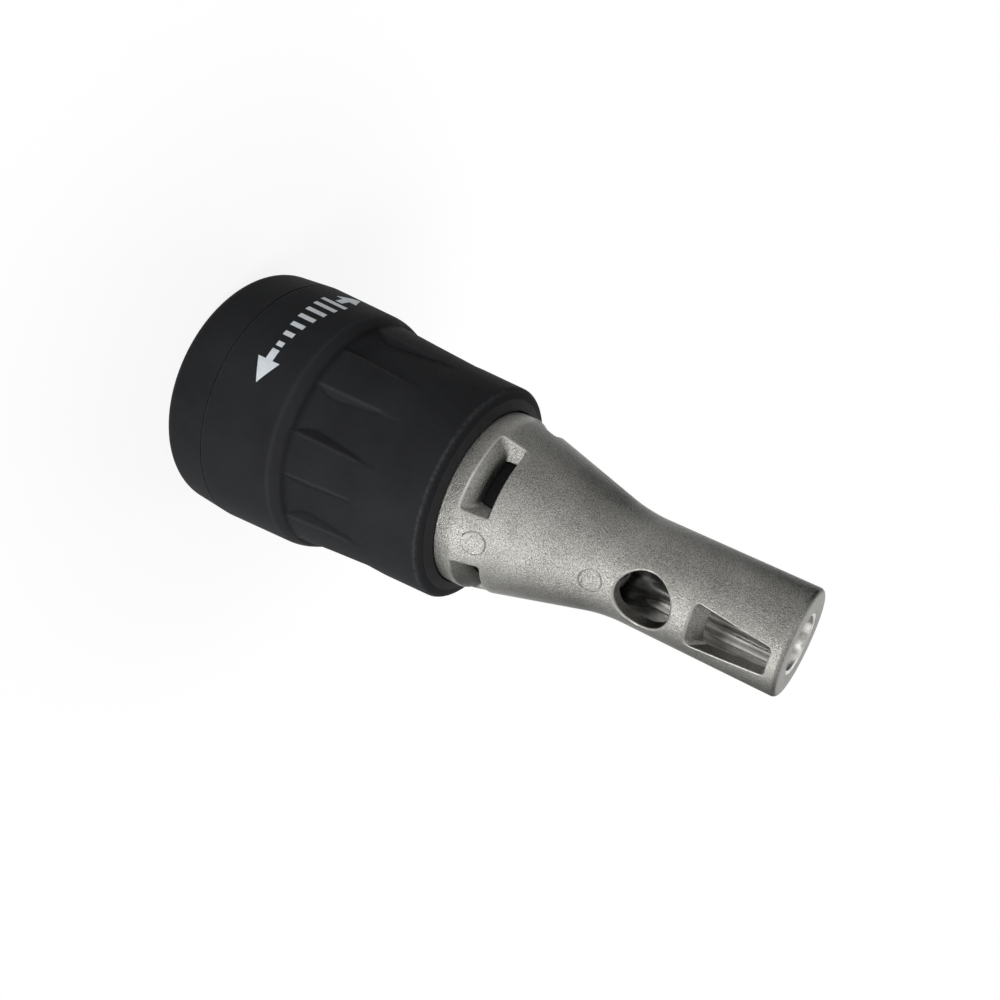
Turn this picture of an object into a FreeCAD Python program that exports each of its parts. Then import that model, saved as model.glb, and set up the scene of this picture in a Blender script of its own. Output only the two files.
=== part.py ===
import FreeCAD, Part
import Sketcher
import math
import os
from types import SimpleNamespace

# Depth-stop nose attachment of a drywall screwdriver.
# The tool axis is +Z, the rear mounting face lies at zero and the windows of the nose face -Y.
# Every size is in millimetres or degrees and lives in one sheet.

SIZES = {
    # Fits
    "running_clearance": 0.08,
    "slide_clearance": 0.1,
    "free_gap": 0.3,
    "play": 0.1,
    "overrun": 2.0,
    # Tool socket and housing
    "socket_wall": 2.6,
    "floor_step": 1.4,
    "floor_wall": 3.2,
    "lip_wall": 2.0,
    "flange_step": 2.2,
    "neck_step": 2.6,
    "neck_land": 1.2,
    "hub_wall": 2.5,
    "hub_land": 0.9,
    "bearing_bore": 7.9,
    "spline_height": 1.0,
    "spline_width": 2.6,
    "spline_length": 26.0,
    "spline_count": 4,
    "mouth_chamfer": 0.6,
    # Circlips and washers
    "clip_thickness": 1.0,
    "clip_depth": 0.8,
    "clip_width": 2.2,
    "clip_gap": 4.0,
    "washer_thickness": 0.8,
    # Lock collar and its pins
    "collar_lift": 0.4,
    "collar_front_wall": 1.5,
    "collar_taper": 0.6,
    "collar_rounding": 3.0,
    "collar_recess": 3.0,
    "pin_margin": 1.6,
    "pin_radius": 1.8,
    "pin_dome": 0.5,
    "pin_count": 3,
    "pin_turn": -90.0,
    "cam_depth": 1.7,
    "lock_travel": 1.2,
    "lock_angle": 36.0,
    "cam_lead_in": 9.0,
    # Adjusting ring
    "seam_gap": 0.25,
    "cavity_gap": 0.4,
    "web_thickness": 2.4,
    "band_wall": 3.8,
    "band_taper": 0.75,
    "shoulder_length": 3.0,
    "shoulder_drop": 1.2,
    "ridge_length": 17.5,
    "ridge_taper": 1.45,
    "grip_length": 9.3,
    "grip_taper": 0.4,
    "grip_wall": 1.8,
    "ring_overlap": 4.8,
    "front_rise": 0.65,
    "band_rounding": 1.5,
    "shoulder_rounding": 1.2,
    "front_rounding": 0.5,
    "panel_count": 8,
    "panel_depth": 1.55,
    "panel_half_angle": 8.6,
    "panel_flare_angle": 9.5,
    "panel_rise": 2.6,
    "panel_start": 3.4,
    "panel_rounding": 0.9,
    "panel_turn": 11.2,
    "sleeve_shoulder_wall": 1.0,
    # Click stop
    "ball_count": 2,
    "ball_radius": 1.2,
    "ball_clearance": 0.06,
    "detent_spring_length": 1.8,
    "notch_depth": 0.35,
    "notch_count": 24,
    # Thread between ring and carrier
    "thread_lead": 6.0,
    "carrier_wall": 2.3,
    "thread_height": 1.8,
    "thread_root_width": 2.6,
    "thread_crest_width": 1.6,
    "thread_clearance": 0.3,
    "thread_sleeve_wall": 2.1,
    "thread_sleeve_length": 18.0,
    "thread_sleeve_setback": 7.5,
    # Carrier and its rubber ring
    "carrier_offset": 4.0,
    "carrier_thread_length": 17.0,
    "carrier_relief": 2.8,
    "seat_thickness": 1.6,
    "spigot_wall": 2.0,
    "spigot_length": 13.6,
    "seal_offset": 6.2,
    "seal_section_radius": 0.75,
    "seal_groove_width": 1.8,
    # Wiper ring
    "wiper_wall": 1.9,
    "wiper_thickness": 1.8,
    # Nose
    "nose_wall": 3.5,
    "nose_seat_gap": 0.05,
    "nose_base_length": 8.9,
    "cone_length": 25.0,
    "tube_wall": 2.35,
    "front_wall": 2.6,
    "front_bore_radius": 4.6,
    "base_rounding": 2.5,
    "cone_rounding": 22.0,
    "tip_rounding": 1.0,
    "bore_chamfer": 0.5,
    "rib_count": 12,
    "rib_turn": -6.0,
    "rib_width": 1.6,
    "rib_height": 1.6,
    "slot_count": 4,
    "slot_turn": 45.0,
    "slot_lead": 1.2,
    "slot_length": 6.1,
    "slot_half_width": 12.3,
    "slot_clear": 0.8,
    "slot_break": 0.7,
    "slot_floor_half_width": 3.55,
    "slot_floor_setback": 3.15,
    "slot_front_draft": 0.3,
    "round_window_radius": 5.05,
    "window_lead": 2.25,
    "window_rear_half_width": 4.15,
    "window_front_half_width": 2.6,
    "window_front_offset": 2.2,
    "window_length": 13.8,
    "window_bridge": 3.05,
    "window_slope": 3.9,
    "window_depth": 6.0,
    "window_corner_radius": 0.9,
    "window_bevel": 0.25,
    # Drive dog and bushes
    "dog_setback": 0.3,
    "head_step": 1.5,
    "lip_clearance": 0.3,
    "rear_bush_length": 15.0,
    "bearing_gap": 0.4,
    "head_length": 3.0,
    "tooth_height": 2.2,
    "tooth_count": 3,
    "tooth_margin": 0.7,
    "tooth_inner_radius": 3.4,
    "tooth_gap": 0.4,
    "tooth_side_gap": 12.0,
    "drive_hex": 8.0,
    "drive_hex_depth": 9.0,
    "front_bush_length": 10.0,
    "dust_seal_thickness": 1.6,
    # Spindle, spring and bit socket
    "plate_length": 3.0,
    "pilot_radius": 2.4,
    "pilot_length": 7.2,
    "shaft_radius": 4.5,
    "shaft_reach": 2.4,
    "tenon_step": 1.3,
    "tenon_length": 8.0,
    "spring_length": 7.0,
    "spring_wire_radius": 0.35,
    "spring_turns": 5,
    "bit_socket_step": 0.8,
    "bit_socket_gap": 0.2,
    "tenon_end_gap": 1.0,
    "bit_hex": 6.5,
    "magnet_gap": 0.35,
    "magnet_length": 2.5,
    "bit_hex_depth": 16.5,
    "bit_clip_offset": 5.0,
    "bit_clip_cover": 1.1,
    "bit_clip_wire": 0.7,
}


class Size:
    """A value of the sheet, or a sum of such values, with the expression that gives it."""

    def __init__(self, value, text):
        self.value = value
        self.text = text

    def __add__(self, other):
        other = as_size(other)
        return Size(self.value + other.value, "(%s + %s)" % (self.text, other.text))

    def __sub__(self, other):
        other = as_size(other)
        return Size(self.value - other.value, "(%s - %s)" % (self.text, other.text))

    def __mul__(self, other):
        other = as_size(other)
        return Size(self.value * other.value, "(%s * %s)" % (self.text, other.text))

    def __truediv__(self, other):
        other = as_size(other)
        return Size(self.value / other.value, "(%s / %s)" % (self.text, other.text))

    def __neg__(self):
        return Size(-self.value, "(0 - %s)" % self.text)

    def sine(self):
        return Size(math.sin(math.radians(self.value)), "sin(%s * 1 deg)" % self.text)

    def cosine(self):
        return Size(math.cos(math.radians(self.value)), "cos(%s * 1 deg)" % self.text)


def as_size(item):
    if isinstance(item, Size):
        return item
    return Size(float(item), repr(float(item)))


ZERO = as_size(0)
HALF_share = as_size(0.5)
MATCH_TOLERANCE = 1e-4
FULL_TURN = 360
HALF_TURN = 180
QUARTER_TURN = 90
HEX_SIDES = 6
CAM_STEPS = 6

doc = FreeCAD.newDocument("depth_stop")
sheet = doc.addObject("Spreadsheet::Sheet", "sizes")
for row, (name, value) in enumerate(SIZES.items(), 1):
    sheet.set("A%d" % row, name)
    sheet.set("B%d" % row, str(value))
    sheet.setAlias("B%d" % row, name)
doc.recompute()
S = SimpleNamespace(**{name: Size(float(value), "sizes." + name) for name, value in SIZES.items()})
nodes = []


def bind(item, path, size):
    """Tie one property of an object to the sheet."""
    item.setExpression(path, as_size(size).text)


def new_body(label):
    body = doc.addObject("PartDesign::Body", label)
    body.Label = label
    nodes.append(body)
    return body


def origin_item(body, role):
    return next(item for item in body.Origin.OriginFeatures if item.Role == role)


def sketch_on(body, name, role, offset=ZERO, turn=None):
    """Sketch on an origin plane of its body, moved along the normal and turned about it."""
    sketch = body.newObject("Sketcher::SketchObject", name)
    sketch.AttachmentSupport = [(origin_item(body, role), "")]
    sketch.MapMode = "FlatFace"
    bind(sketch, "AttachmentOffset.Base.z", offset)
    if turn is not None:
        bind(sketch, "AttachmentOffset.Rotation.Angle", turn)
    return sketch


def radial_sketch(body, name, distance, turn):
    """Upright sketch plane at a distance from the axis, turned about the axis from -Y."""
    sketch = sketch_on(body, name, "XZ_Plane")
    sketch.AttachmentOffset = FreeCAD.Placement(
        FreeCAD.Vector(), FreeCAD.Rotation(FreeCAD.Vector(0, 1, 0), turn.value))
    bind(sketch, "AttachmentOffset.Base.x", distance * turn.sine())
    bind(sketch, "AttachmentOffset.Base.z", distance * turn.cosine())
    bind(sketch, "AttachmentOffset.Rotation.Angle", turn)
    return sketch


def pin_point(sketch, geometry, corner, across, along):
    """Fix one corner of a sketch at a place given by the sheet."""
    for kind, place, axis in (("DistanceX", as_size(across), -2), ("DistanceY", as_size(along), -1)):
        if abs(place.value) < MATCH_TOLERANCE:
            sketch.addConstraint(Sketcher.Constraint("PointOnObject", geometry, corner, axis))
            continue
        ends = (-1, 1, geometry, corner) if place.value > 0 else (geometry, corner, -1, 1)
        index = sketch.addConstraint(Sketcher.Constraint(kind, *ends, abs(place.value)))
        bind(sketch, "Constraints[%d]" % index, place if place.value > 0 else -place)


def outline(sketch, points, radii=None):
    """Closed chain of straight lines, with a tangent arc at each corner that has a radius."""
    spots = [FreeCAD.Vector(as_size(x).value, as_size(y).value, 0) for x, y in points]
    count = len(spots)
    radii = radii or [None] * count
    starts = []
    ends = []
    for index, spot in enumerate(spots):
        before = (spots[index - 1] - spot).normalize()
        after = (spots[(index + 1) % count] - spot).normalize()
        setback = 0
        if radii[index] is not None:
            setback = radii[index].value / math.tan(before.getAngle(after) * HALF_share.value)
        ends.append(spot + before * setback)
        starts.append(spot + after * setback)
    for index in range(count):
        sketch.addGeometry(Part.LineSegment(starts[index], ends[(index + 1) % count]), False)
    for index, (x, y) in enumerate(points):
        if radii[index] is None:
            sketch.addConstraint(Sketcher.Constraint("Coincident", (index - 1) % count, 2, index, 1))
            pin_point(sketch, index, 1, x, y)
            continue
        tangent_corner(sketch, index, count, (x, y), radii[index], (ends[index], spots[index], starts[index]))


def tangent_corner(sketch, index, count, place, radius, spots):
    """Round the corner between two lines of an outline, with its sharp corner fixed by the sheet."""
    end, spot, start = spots
    inwards = ((end - spot) + (start - spot)).normalize()
    angle = (end - spot).getAngle(inwards)
    middle = spot + inwards * (radius.value / math.sin(angle))
    arc = sketch.addGeometry(Part.Arc(end, middle - inwards * radius.value, start), False)
    corner = sketch.addGeometry(Part.Point(spot), True)
    pin_point(sketch, corner, 1, *place)
    sketch.addConstraint(Sketcher.Constraint("PointOnObject", corner, 1, index))
    sketch.addConstraint(Sketcher.Constraint("PointOnObject", corner, 1, (index - 1) % count))
    first, last = arc_ends(sketch, arc, end)
    sketch.addConstraint(Sketcher.Constraint("Tangent", (index - 1) % count, 2, arc, first))
    sketch.addConstraint(Sketcher.Constraint("Tangent", index, 1, arc, last))
    size = sketch.addConstraint(Sketcher.Constraint("Radius", arc, radius.value))
    bind(sketch, "Constraints[%d]" % size, radius)


def arc_ends(sketch, arc, begin):
    """Numbers of an arc's two ends, the one at a given place first."""
    at_start = sketch.getPoint(arc, 1).distanceToPoint(begin)
    return (1, 2) if at_start < sketch.getPoint(arc, 2).distanceToPoint(begin) else (2, 1)


def rectangle(sketch, low_x, high_x, low_y, high_y):
    outline(sketch, [(low_x, low_y), (high_x, low_y), (high_x, high_y), (low_x, high_y)])


def circle(sketch, radius, x=ZERO, y=ZERO):
    """Circle of a given radius round a place given by the sheet."""
    middle = FreeCAD.Vector(as_size(x).value, as_size(y).value, 0)
    index = sketch.addGeometry(Part.Circle(middle, FreeCAD.Vector(0, 0, 1), radius.value), False)
    pin_point(sketch, index, 3, x, y)
    bind(sketch, "Constraints[%d]" % sketch.addConstraint(
        Sketcher.Constraint("Radius", index, radius.value)), radius)


def hexagon(sketch, across_flats):
    """Regular hexagon round the axis, flats along the sketch's first axis."""
    half_side = as_size(HALF_TURN / HEX_SIDES)
    corner = across_flats * HALF_share / half_side.cosine()
    points = []
    for step in range(HEX_SIDES):
        angle = half_side * (step * 2 + 1)
        points.append((corner * angle.cosine(), corner * angle.sine()))
    outline(sketch, points)


def feature(body, kind, name, sketch, **settings):
    item = body.newObject("PartDesign::" + kind, name)
    item.Profile = sketch
    for key, value in settings.items():
        setattr(item, key, value)
    return item


def turned(body, name, points, kind="Revolution", roundings=()):
    """Outline in radius and height, turned round the tool axis; some of its corners may be rounded."""
    sketch = sketch_on(body, name + "_outline", "XZ_Plane")
    radii = dict(roundings)
    outline(sketch, points, [radii.get(point) for point in points])
    item = feature(body, kind, name, sketch, ReferenceAxis=(sketch, ["V_Axis"]))
    item.Angle = FULL_TURN
    doc.recompute()
    return item


def ring_outline(inner, outer, low, high):
    return [(inner, low), (outer, low), (outer, high), (inner, high)]


def pocket(body, name, sketch, length=None, away=False):
    """Cut along the sketch's normal, or right through where no length is given."""
    before = body.Tip.Shape.Volume
    item = feature(body, "Pocket", name, sketch, Reversed=away)
    if length is None:
        item.Type = "ThroughAll"
    else:
        bind(item, "Length", length)
    doc.recompute()
    if item.Shape.Volume >= before:
        raise ValueError(name + " cuts nothing")
    return item


def pad(body, name, sketch, length, away=False):
    item = feature(body, "Pad", name, sketch, Reversed=away)
    bind(item, "Length", length)
    doc.recompute()
    return item


def polar(body, name, originals, count):
    """Repeat features evenly round the tool axis."""
    item = body.newObject("PartDesign::PolarPattern", name)
    item.Originals = originals
    item.Axis = (origin_item(body, "Z_Axis"), [""])
    item.Angle = FULL_TURN
    bind(item, "Occurrences", count)
    body.Tip = item
    doc.recompute()
    return item


def rim(item, radius, height):
    """Names of the round edges of one radius at one height."""
    names = []
    for index, edge in enumerate(item.Shape.Edges, 1):
        curve = edge.Curve
        if not isinstance(curve, Part.Circle):
            continue
        same_radius = abs(curve.Radius - radius.value) < MATCH_TOLERANCE
        if same_radius and abs(curve.Center.z - height.value) < MATCH_TOLERANCE:
            names.append("Edge%d" % index)
    if not names:
        raise ValueError("no round edge at radius %g, height %g" % (radius.value, height.value))
    return names


def rounded(body, name, edges, radius, kind="Fillet"):
    """Round or bevel edges of the body's present shape."""
    base = body.Tip
    item = body.newObject("PartDesign::" + kind, name)
    item.Base = (base, edges)
    bind(item, "Radius" if kind == "Fillet" else "Size", radius)
    doc.recompute()
    return item


def ring_piece(label, inner, outer, low, high):
    """Plain ring: washer, bush or seal."""
    body = new_body(label)
    turned(body, label + "_ring", ring_outline(inner, outer, low, high))
    return body


def open_clip(label, inner, outer, low, high, gap):
    """Circlip: a flat ring with a gap on its +X side."""
    body = ring_piece(label, inner, outer, low, high)
    sketch = sketch_on(body, label + "_gap_outline", "XY_Plane", low)
    rectangle(sketch, ZERO, outer + S.overrun, -gap * HALF_share, gap * HALF_share)
    pocket(body, label + "_gap", sketch, high - low, away=True)
    return body


# Places along the axis, from the rear face to the front
pin_bore = S.pin_radius + S.slide_clearance
cam_half_width = pin_bore + S.slide_clearance
recess_front = S.collar_lift + S.collar_recess
pin_height = recess_front + S.pin_margin + cam_half_width
collar_front = pin_height + cam_half_width + S.collar_front_wall
flange_rear = collar_front + S.play
socket_depth = flange_rear + S.floor_step
flange_front = socket_depth + S.floor_wall
ring_rear = collar_front + S.seam_gap
ring_washer_front = flange_front + S.washer_thickness
web_rear = ring_washer_front + S.play
web_front = web_rear + S.web_thickness
ring_clip_rear = web_front + S.play
ring_clip_front = ring_clip_rear + S.clip_thickness
neck_front = ring_clip_front + S.neck_land
lip_front = socket_depth + S.lip_wall
rear_bush_front = lip_front + S.rear_bush_length
dog_washer_front = rear_bush_front + S.washer_thickness
head_rear = dog_washer_front + S.play
head_front = head_rear + S.head_length
dog_clip_rear = head_front + S.play
dog_clip_front = dog_clip_rear + S.clip_thickness
dog_tip = head_front + S.tooth_height
spindle_tip = dog_tip + S.tooth_gap
plate_rear = spindle_tip + S.tooth_height
plate_front = plate_rear + S.plate_length
spindle_washer_rear = plate_front + S.play
front_bush_rear = spindle_washer_rear + S.washer_thickness
front_bush_front = front_bush_rear + S.front_bush_length
seal_front = front_bush_front + S.dust_seal_thickness
seal_clip_front = seal_front + S.clip_thickness
hub_front = seal_clip_front + S.hub_land
dog_rear = socket_depth + S.dog_setback
pilot_rear = plate_rear - S.pilot_length
spring_rear = pilot_rear - S.spring_length
shaft_front = hub_front + S.shaft_reach
tenon_front = shaft_front + S.tenon_length
magnet_rear = tenon_front + S.tenon_end_gap
bit_hex_rear = magnet_rear + S.magnet_length
bit_socket_front = bit_hex_rear + S.bit_hex_depth
thread_sleeve_rear = web_front + S.thread_sleeve_setback
thread_sleeve_front = thread_sleeve_rear + S.thread_sleeve_length
carrier_rear = thread_sleeve_rear + S.carrier_offset
carrier_thread_front = carrier_rear + S.carrier_thread_length
seat_rear = carrier_thread_front + S.carrier_relief
seat_front = seat_rear + S.seat_thickness
spigot_front = seat_front + S.spigot_length
o_ring_height = seat_front + S.seal_offset
nose_rear = seat_front + S.nose_seat_gap
cone_rear = nose_rear + S.nose_base_length
cone_front = cone_rear + S.cone_length
round_window_height = cone_front + S.window_lead + S.round_window_radius
window_rear = round_window_height + S.round_window_radius + S.window_bridge
window_front = window_rear + S.window_length
nose_front = window_front + S.window_front_offset
nose_cavity_front = nose_front - S.front_wall
ring_front = seat_front + S.ring_overlap
grip_front = ring_front - S.front_rise
ridge_front = grip_front - S.grip_length
shoulder_front = ridge_front - S.ridge_length
band_front = shoulder_front - S.shoulder_length

# Radii from the drive outwards, through hub, carrier and nose to the grip
head_radius = S.bearing_bore - S.bearing_gap
shank_radius = head_radius - S.head_step
tooth_outer_radius = head_radius - S.tooth_margin
hub_radius = S.bearing_bore + S.hub_wall
neck_radius = hub_radius + S.neck_step
carrier_bore = hub_radius + S.slide_clearance
thread_core_radius = carrier_bore + S.carrier_wall
thread_crest_radius = thread_core_radius + S.thread_height
thread_sleeve_radius = thread_crest_radius + S.thread_clearance + S.thread_sleeve_wall
spigot_radius = carrier_bore + S.spigot_wall
spigot_bore = spigot_radius + S.slide_clearance * 2
nose_radius = spigot_bore + S.nose_wall
seat_radius = nose_radius - S.free_gap
wiper_bore = nose_radius + S.free_gap
wiper_radius = wiper_bore + S.wiper_wall
wiper_rear = ring_front - S.wiper_thickness
grip_front_radius = wiper_radius + S.grip_wall
ridge_radius = grip_front_radius + S.grip_taper
shoulder_radius = ridge_radius + S.ridge_taper
panel_floor_radius = shoulder_radius - S.panel_depth
band_front_radius = shoulder_radius + S.shoulder_drop
band_radius = band_front_radius + S.band_taper

# Radii from the grip's band inwards, through cavity and flange to the tool socket
collar_rear_radius = band_radius - S.collar_taper
cavity_radius = band_radius - S.band_wall
flange_radius = cavity_radius - S.cavity_gap
sleeve_radius = flange_radius - S.flange_step
socket_radius = sleeve_radius - S.socket_wall
collar_bore = sleeve_radius + S.slide_clearance
cam_radius = collar_bore + S.cam_depth
pin_outer = cam_radius - S.free_gap
pin_inner = socket_radius + S.slide_clearance
ball_bore = S.ball_radius + S.ball_clearance
ball_place = cavity_radius - S.play - S.ball_radius
detent_height = (flange_rear + flange_front) * HALF_share
detent_floor = ball_place - S.ball_radius - S.detent_spring_length

# Radii of the spindle, and of the tube that goes round its bit socket
pilot_bore = S.pilot_radius + S.slide_clearance
tenon_radius = S.shaft_radius - S.tenon_step
bit_socket_radius = S.shaft_radius + S.bit_socket_step
bit_clip_radius = bit_socket_radius - S.bit_clip_cover
magnet_radius = S.bit_hex * HALF_share - S.magnet_gap
rib_crest_radius = bit_socket_radius + S.bit_socket_gap
tube_bore = rib_crest_radius + S.rib_height
tube_radius = tube_bore + S.tube_wall


def make_housing():
    """Fixed frame: tool socket, flange, neck and splined hub in one piece."""
    body = new_body("coupling_housing")
    turned(body, "housing_shell", [
        (socket_radius, ZERO),
        (sleeve_radius, ZERO),
        (sleeve_radius, flange_rear),
        (flange_radius, flange_rear),
        (flange_radius, flange_front),
        (neck_radius, flange_front),
        (neck_radius, neck_front),
        (hub_radius, neck_front),
        (hub_radius, hub_front),
        (S.bearing_bore, hub_front),
        (S.bearing_bore, lip_front),
        (shank_radius + S.lip_clearance, lip_front),
        (shank_radius + S.lip_clearance, socket_depth),
        (socket_radius, socket_depth)])
    collar_clip_rear = recess_front - S.play - S.clip_thickness
    grooves = [
        ("collar_clip_groove", sleeve_radius - S.clip_depth, sleeve_radius + S.overrun,
         collar_clip_rear, collar_clip_rear + S.clip_thickness),
        ("ring_clip_groove", neck_radius - S.clip_depth, neck_radius + S.overrun,
         ring_clip_rear, ring_clip_front),
        ("dog_clip_groove", S.bearing_bore - S.overrun, S.bearing_bore + S.clip_depth,
         dog_clip_rear, dog_clip_front),
        ("seal_clip_groove", S.bearing_bore - S.overrun, S.bearing_bore + S.clip_depth,
         seal_front, seal_clip_front)]
    for name, inner, outer, low, high in grooves:
        turned(body, name, ring_outline(inner, outer, low, high), "Groove")
    sketch = sketch_on(body, "spline_outline", "XY_Plane", neck_front)
    half = S.spline_width * HALF_share
    rectangle(sketch, hub_radius - S.spline_height, hub_radius + S.spline_height, -half, half)
    spline = pad(body, "spline", sketch, S.spline_length)
    polar(body, "splines", [spline], S.spline_count)
    sketch = radial_sketch(body, "pin_hole_outline", socket_radius - S.overrun, ZERO)
    circle(sketch, pin_bore, ZERO, pin_height)
    hole = pocket(body, "pin_hole", sketch, S.socket_wall + S.overrun * 2, away=True)
    polar(body, "pin_holes", [hole], S.pin_count)
    sketch = radial_sketch(body, "ball_hole_outline", detent_floor, ZERO)
    circle(sketch, ball_bore, ZERO, detent_height)
    hole = pocket(body, "ball_hole", sketch, flange_radius - detent_floor + S.overrun, away=True)
    polar(body, "ball_holes", [hole], S.ball_count)
    rounded(body, "socket_mouth", rim(body.Tip, socket_radius, ZERO), S.mouth_chamfer, "Chamfer")
    open_clip("collar_circlip", sleeve_radius - S.clip_depth, sleeve_radius - S.clip_depth + S.clip_width,
              collar_clip_rear, collar_clip_rear + S.clip_thickness, S.clip_gap)
    open_clip("ring_circlip", neck_radius - S.clip_depth, neck_radius - S.clip_depth + S.clip_width,
              ring_clip_rear, ring_clip_front, S.clip_gap)
    outer = S.bearing_bore + S.clip_depth
    open_clip("dog_circlip", outer - S.clip_width + S.clip_depth, outer,
              dog_clip_rear, dog_clip_front, S.clip_gap)
    open_clip("seal_circlip", outer - S.clip_width, outer, seal_front, seal_clip_front, S.clip_gap)


def make_bushes():
    """Rings between housing, drive and spindle."""
    shank_bore = shank_radius + S.running_clearance
    shaft_bore = S.shaft_radius + S.running_clearance
    ring_piece("ring_washer", neck_radius + S.play, flange_radius - S.play, flange_front, ring_washer_front)
    ring_piece("rear_bush", shank_bore, S.bearing_bore, lip_front, rear_bush_front)
    ring_piece("dog_washer", shank_bore, S.bearing_bore - S.play, rear_bush_front, dog_washer_front)
    ring_piece("spindle_washer", shaft_bore, S.bearing_bore - S.play, spindle_washer_rear, front_bush_rear)
    ring_piece("front_bush", shaft_bore, S.bearing_bore, front_bush_rear, front_bush_front)
    ring_piece("dust_seal", shaft_bore, S.bearing_bore, front_bush_front, seal_front)


def make_click_stop():
    """Two sprung balls in the flange, drawn at the height that clears the lands of the ring."""
    balls = []
    springs = []
    for side in (1, -1):
        ball = doc.addObject("Part::Sphere", "click_ball")
        bind(ball, "Radius", S.ball_radius)
        bind(ball, "Placement.Base.y", ball_place * side)
        bind(ball, "Placement.Base.z", detent_height)
        balls.append(ball)
        spring = doc.addObject("Part::Cylinder", "click_spring")
        spring.Placement = FreeCAD.Placement(
            FreeCAD.Vector(), FreeCAD.Rotation(FreeCAD.Vector(1, 0, 0), -QUARTER_TURN * side))
        bind(spring, "Radius", S.ball_radius - S.slide_clearance)
        bind(spring, "Height", S.detent_spring_length)
        bind(spring, "Placement.Base.y", detent_floor * side)
        bind(spring, "Placement.Base.z", detent_height)
        springs.append(spring)
    for label, members in (("detent_balls", balls), ("detent_springs", springs)):
        group = doc.addObject("Part::Compound", label)
        group.Label = label
        group.Links = members
        nodes.append(group)


def make_collar():
    """Twist collar with one spiral cam for each lock pin."""
    body = new_body("lock_collar")
    recess_radius = sleeve_radius - S.clip_depth + S.clip_width + S.free_gap
    turned(body, "collar_ring", [
        (recess_radius, S.collar_lift),
        (collar_rear_radius, S.collar_lift),
        (band_radius, collar_front),
        (collar_bore, collar_front),
        (collar_bore, recess_front),
        (recess_radius, recess_front)], roundings=[((collar_rear_radius, S.collar_lift), S.collar_rounding)])
    sketch = sketch_on(body, "cam_outline", "XY_Plane", pin_height - cam_half_width)
    start = S.pin_turn - S.lock_angle - S.cam_lead_in
    points = [(ZERO, ZERO)]
    sweep = S.lock_angle + S.cam_lead_in * 2
    rate = S.lock_travel / S.lock_angle
    for step in range(CAM_STEPS + 1):
        turn = sweep * (step / CAM_STEPS)
        angle = start + turn
        reach = cam_radius - rate * (S.lock_angle + S.cam_lead_in - turn)
        points.append((reach * angle.cosine(), reach * angle.sine()))
    outline(sketch, points)
    cam = pocket(body, "cam", sketch, cam_half_width * 2, away=True)
    polar(body, "cams", [cam], S.pin_count)


def make_lock_pins():
    """Radial pins with domed ends, one body each because each slides by itself."""
    for index in range(int(S.pin_count.value)):
        body = new_body("lock_pin_%d" % (index + 1))
        sketch = sketch_on(body, "pin_outline_%d" % index, "XZ_Plane")
        outline(sketch, [
            (ZERO, pin_inner),
            (S.pin_radius - S.pin_dome, pin_inner),
            (S.pin_radius, pin_inner + S.pin_dome),
            (S.pin_radius, pin_outer - S.pin_dome * 2),
            (S.pin_radius - S.pin_dome * 2, pin_outer),
            (ZERO, pin_outer)])
        item = feature(body, "Revolution", "pin_%d" % index, sketch, ReferenceAxis=(sketch, ["V_Axis"]))
        item.Angle = FULL_TURN
        angle = S.pin_turn.value + FULL_TURN / S.pin_count.value * index
        turn = FreeCAD.Rotation(FreeCAD.Vector(0, 0, 1), angle)
        tilt = FreeCAD.Rotation(FreeCAD.Vector(0, 1, 0), QUARTER_TURN)
        body.Placement = FreeCAD.Placement(FreeCAD.Vector(), turn.multiply(tilt))
        bind(body, "Placement.Base.z", pin_height)
        doc.recompute()


def panel_outline(sketch):
    """Cross-section of one scooped panel: a floor round the axis and two flared sides."""
    half = S.panel_half_angle
    wide = S.panel_half_angle + S.panel_flare_angle
    low = FreeCAD.Vector(panel_floor_radius.value, 0, 0)
    spin = FreeCAD.Rotation(FreeCAD.Vector(0, 0, 1), half.value)
    top = spin.multVec(low)
    bottom = spin.inverted().multVec(low)
    sketch.addGeometry(Part.Arc(bottom, low, top), False)
    reach = panel_floor_radius + S.panel_rise
    corners = [(reach * wide.cosine(), reach * wide.sine()), (reach * wide.cosine(), -reach * wide.sine())]
    spots = [FreeCAD.Vector(x.value, y.value, 0) for x, y in corners]
    for begin, end in ((top, spots[0]), (spots[0], spots[1]), (spots[1], bottom)):
        sketch.addGeometry(Part.LineSegment(begin, end), False)
    for first, corner, second, other in ((0, 2, 1, 1), (1, 2, 2, 1), (2, 2, 3, 1), (3, 2, 0, 1)):
        sketch.addConstraint(Sketcher.Constraint("Coincident", first, corner, second, other))
    sketch.addConstraint(Sketcher.Constraint("Coincident", 0, 3, -1, 1))
    radius = sketch.addConstraint(Sketcher.Constraint("Radius", 0, panel_floor_radius.value))
    bind(sketch, "Constraints[%d]" % radius, panel_floor_radius)
    sketch.addConstraint(Sketcher.Constraint("Symmetric", 0, 1, 0, 2, -1))
    rise = sketch.addConstraint(Sketcher.Constraint("DistanceY", -1, 1, 0, 2, top.y))
    bind(sketch, "Constraints[%d]" % rise, panel_floor_radius * half.sine())
    for geometry, (x, y) in zip((1, 2), corners):
        pin_point(sketch, geometry, 2, x, y)


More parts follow.
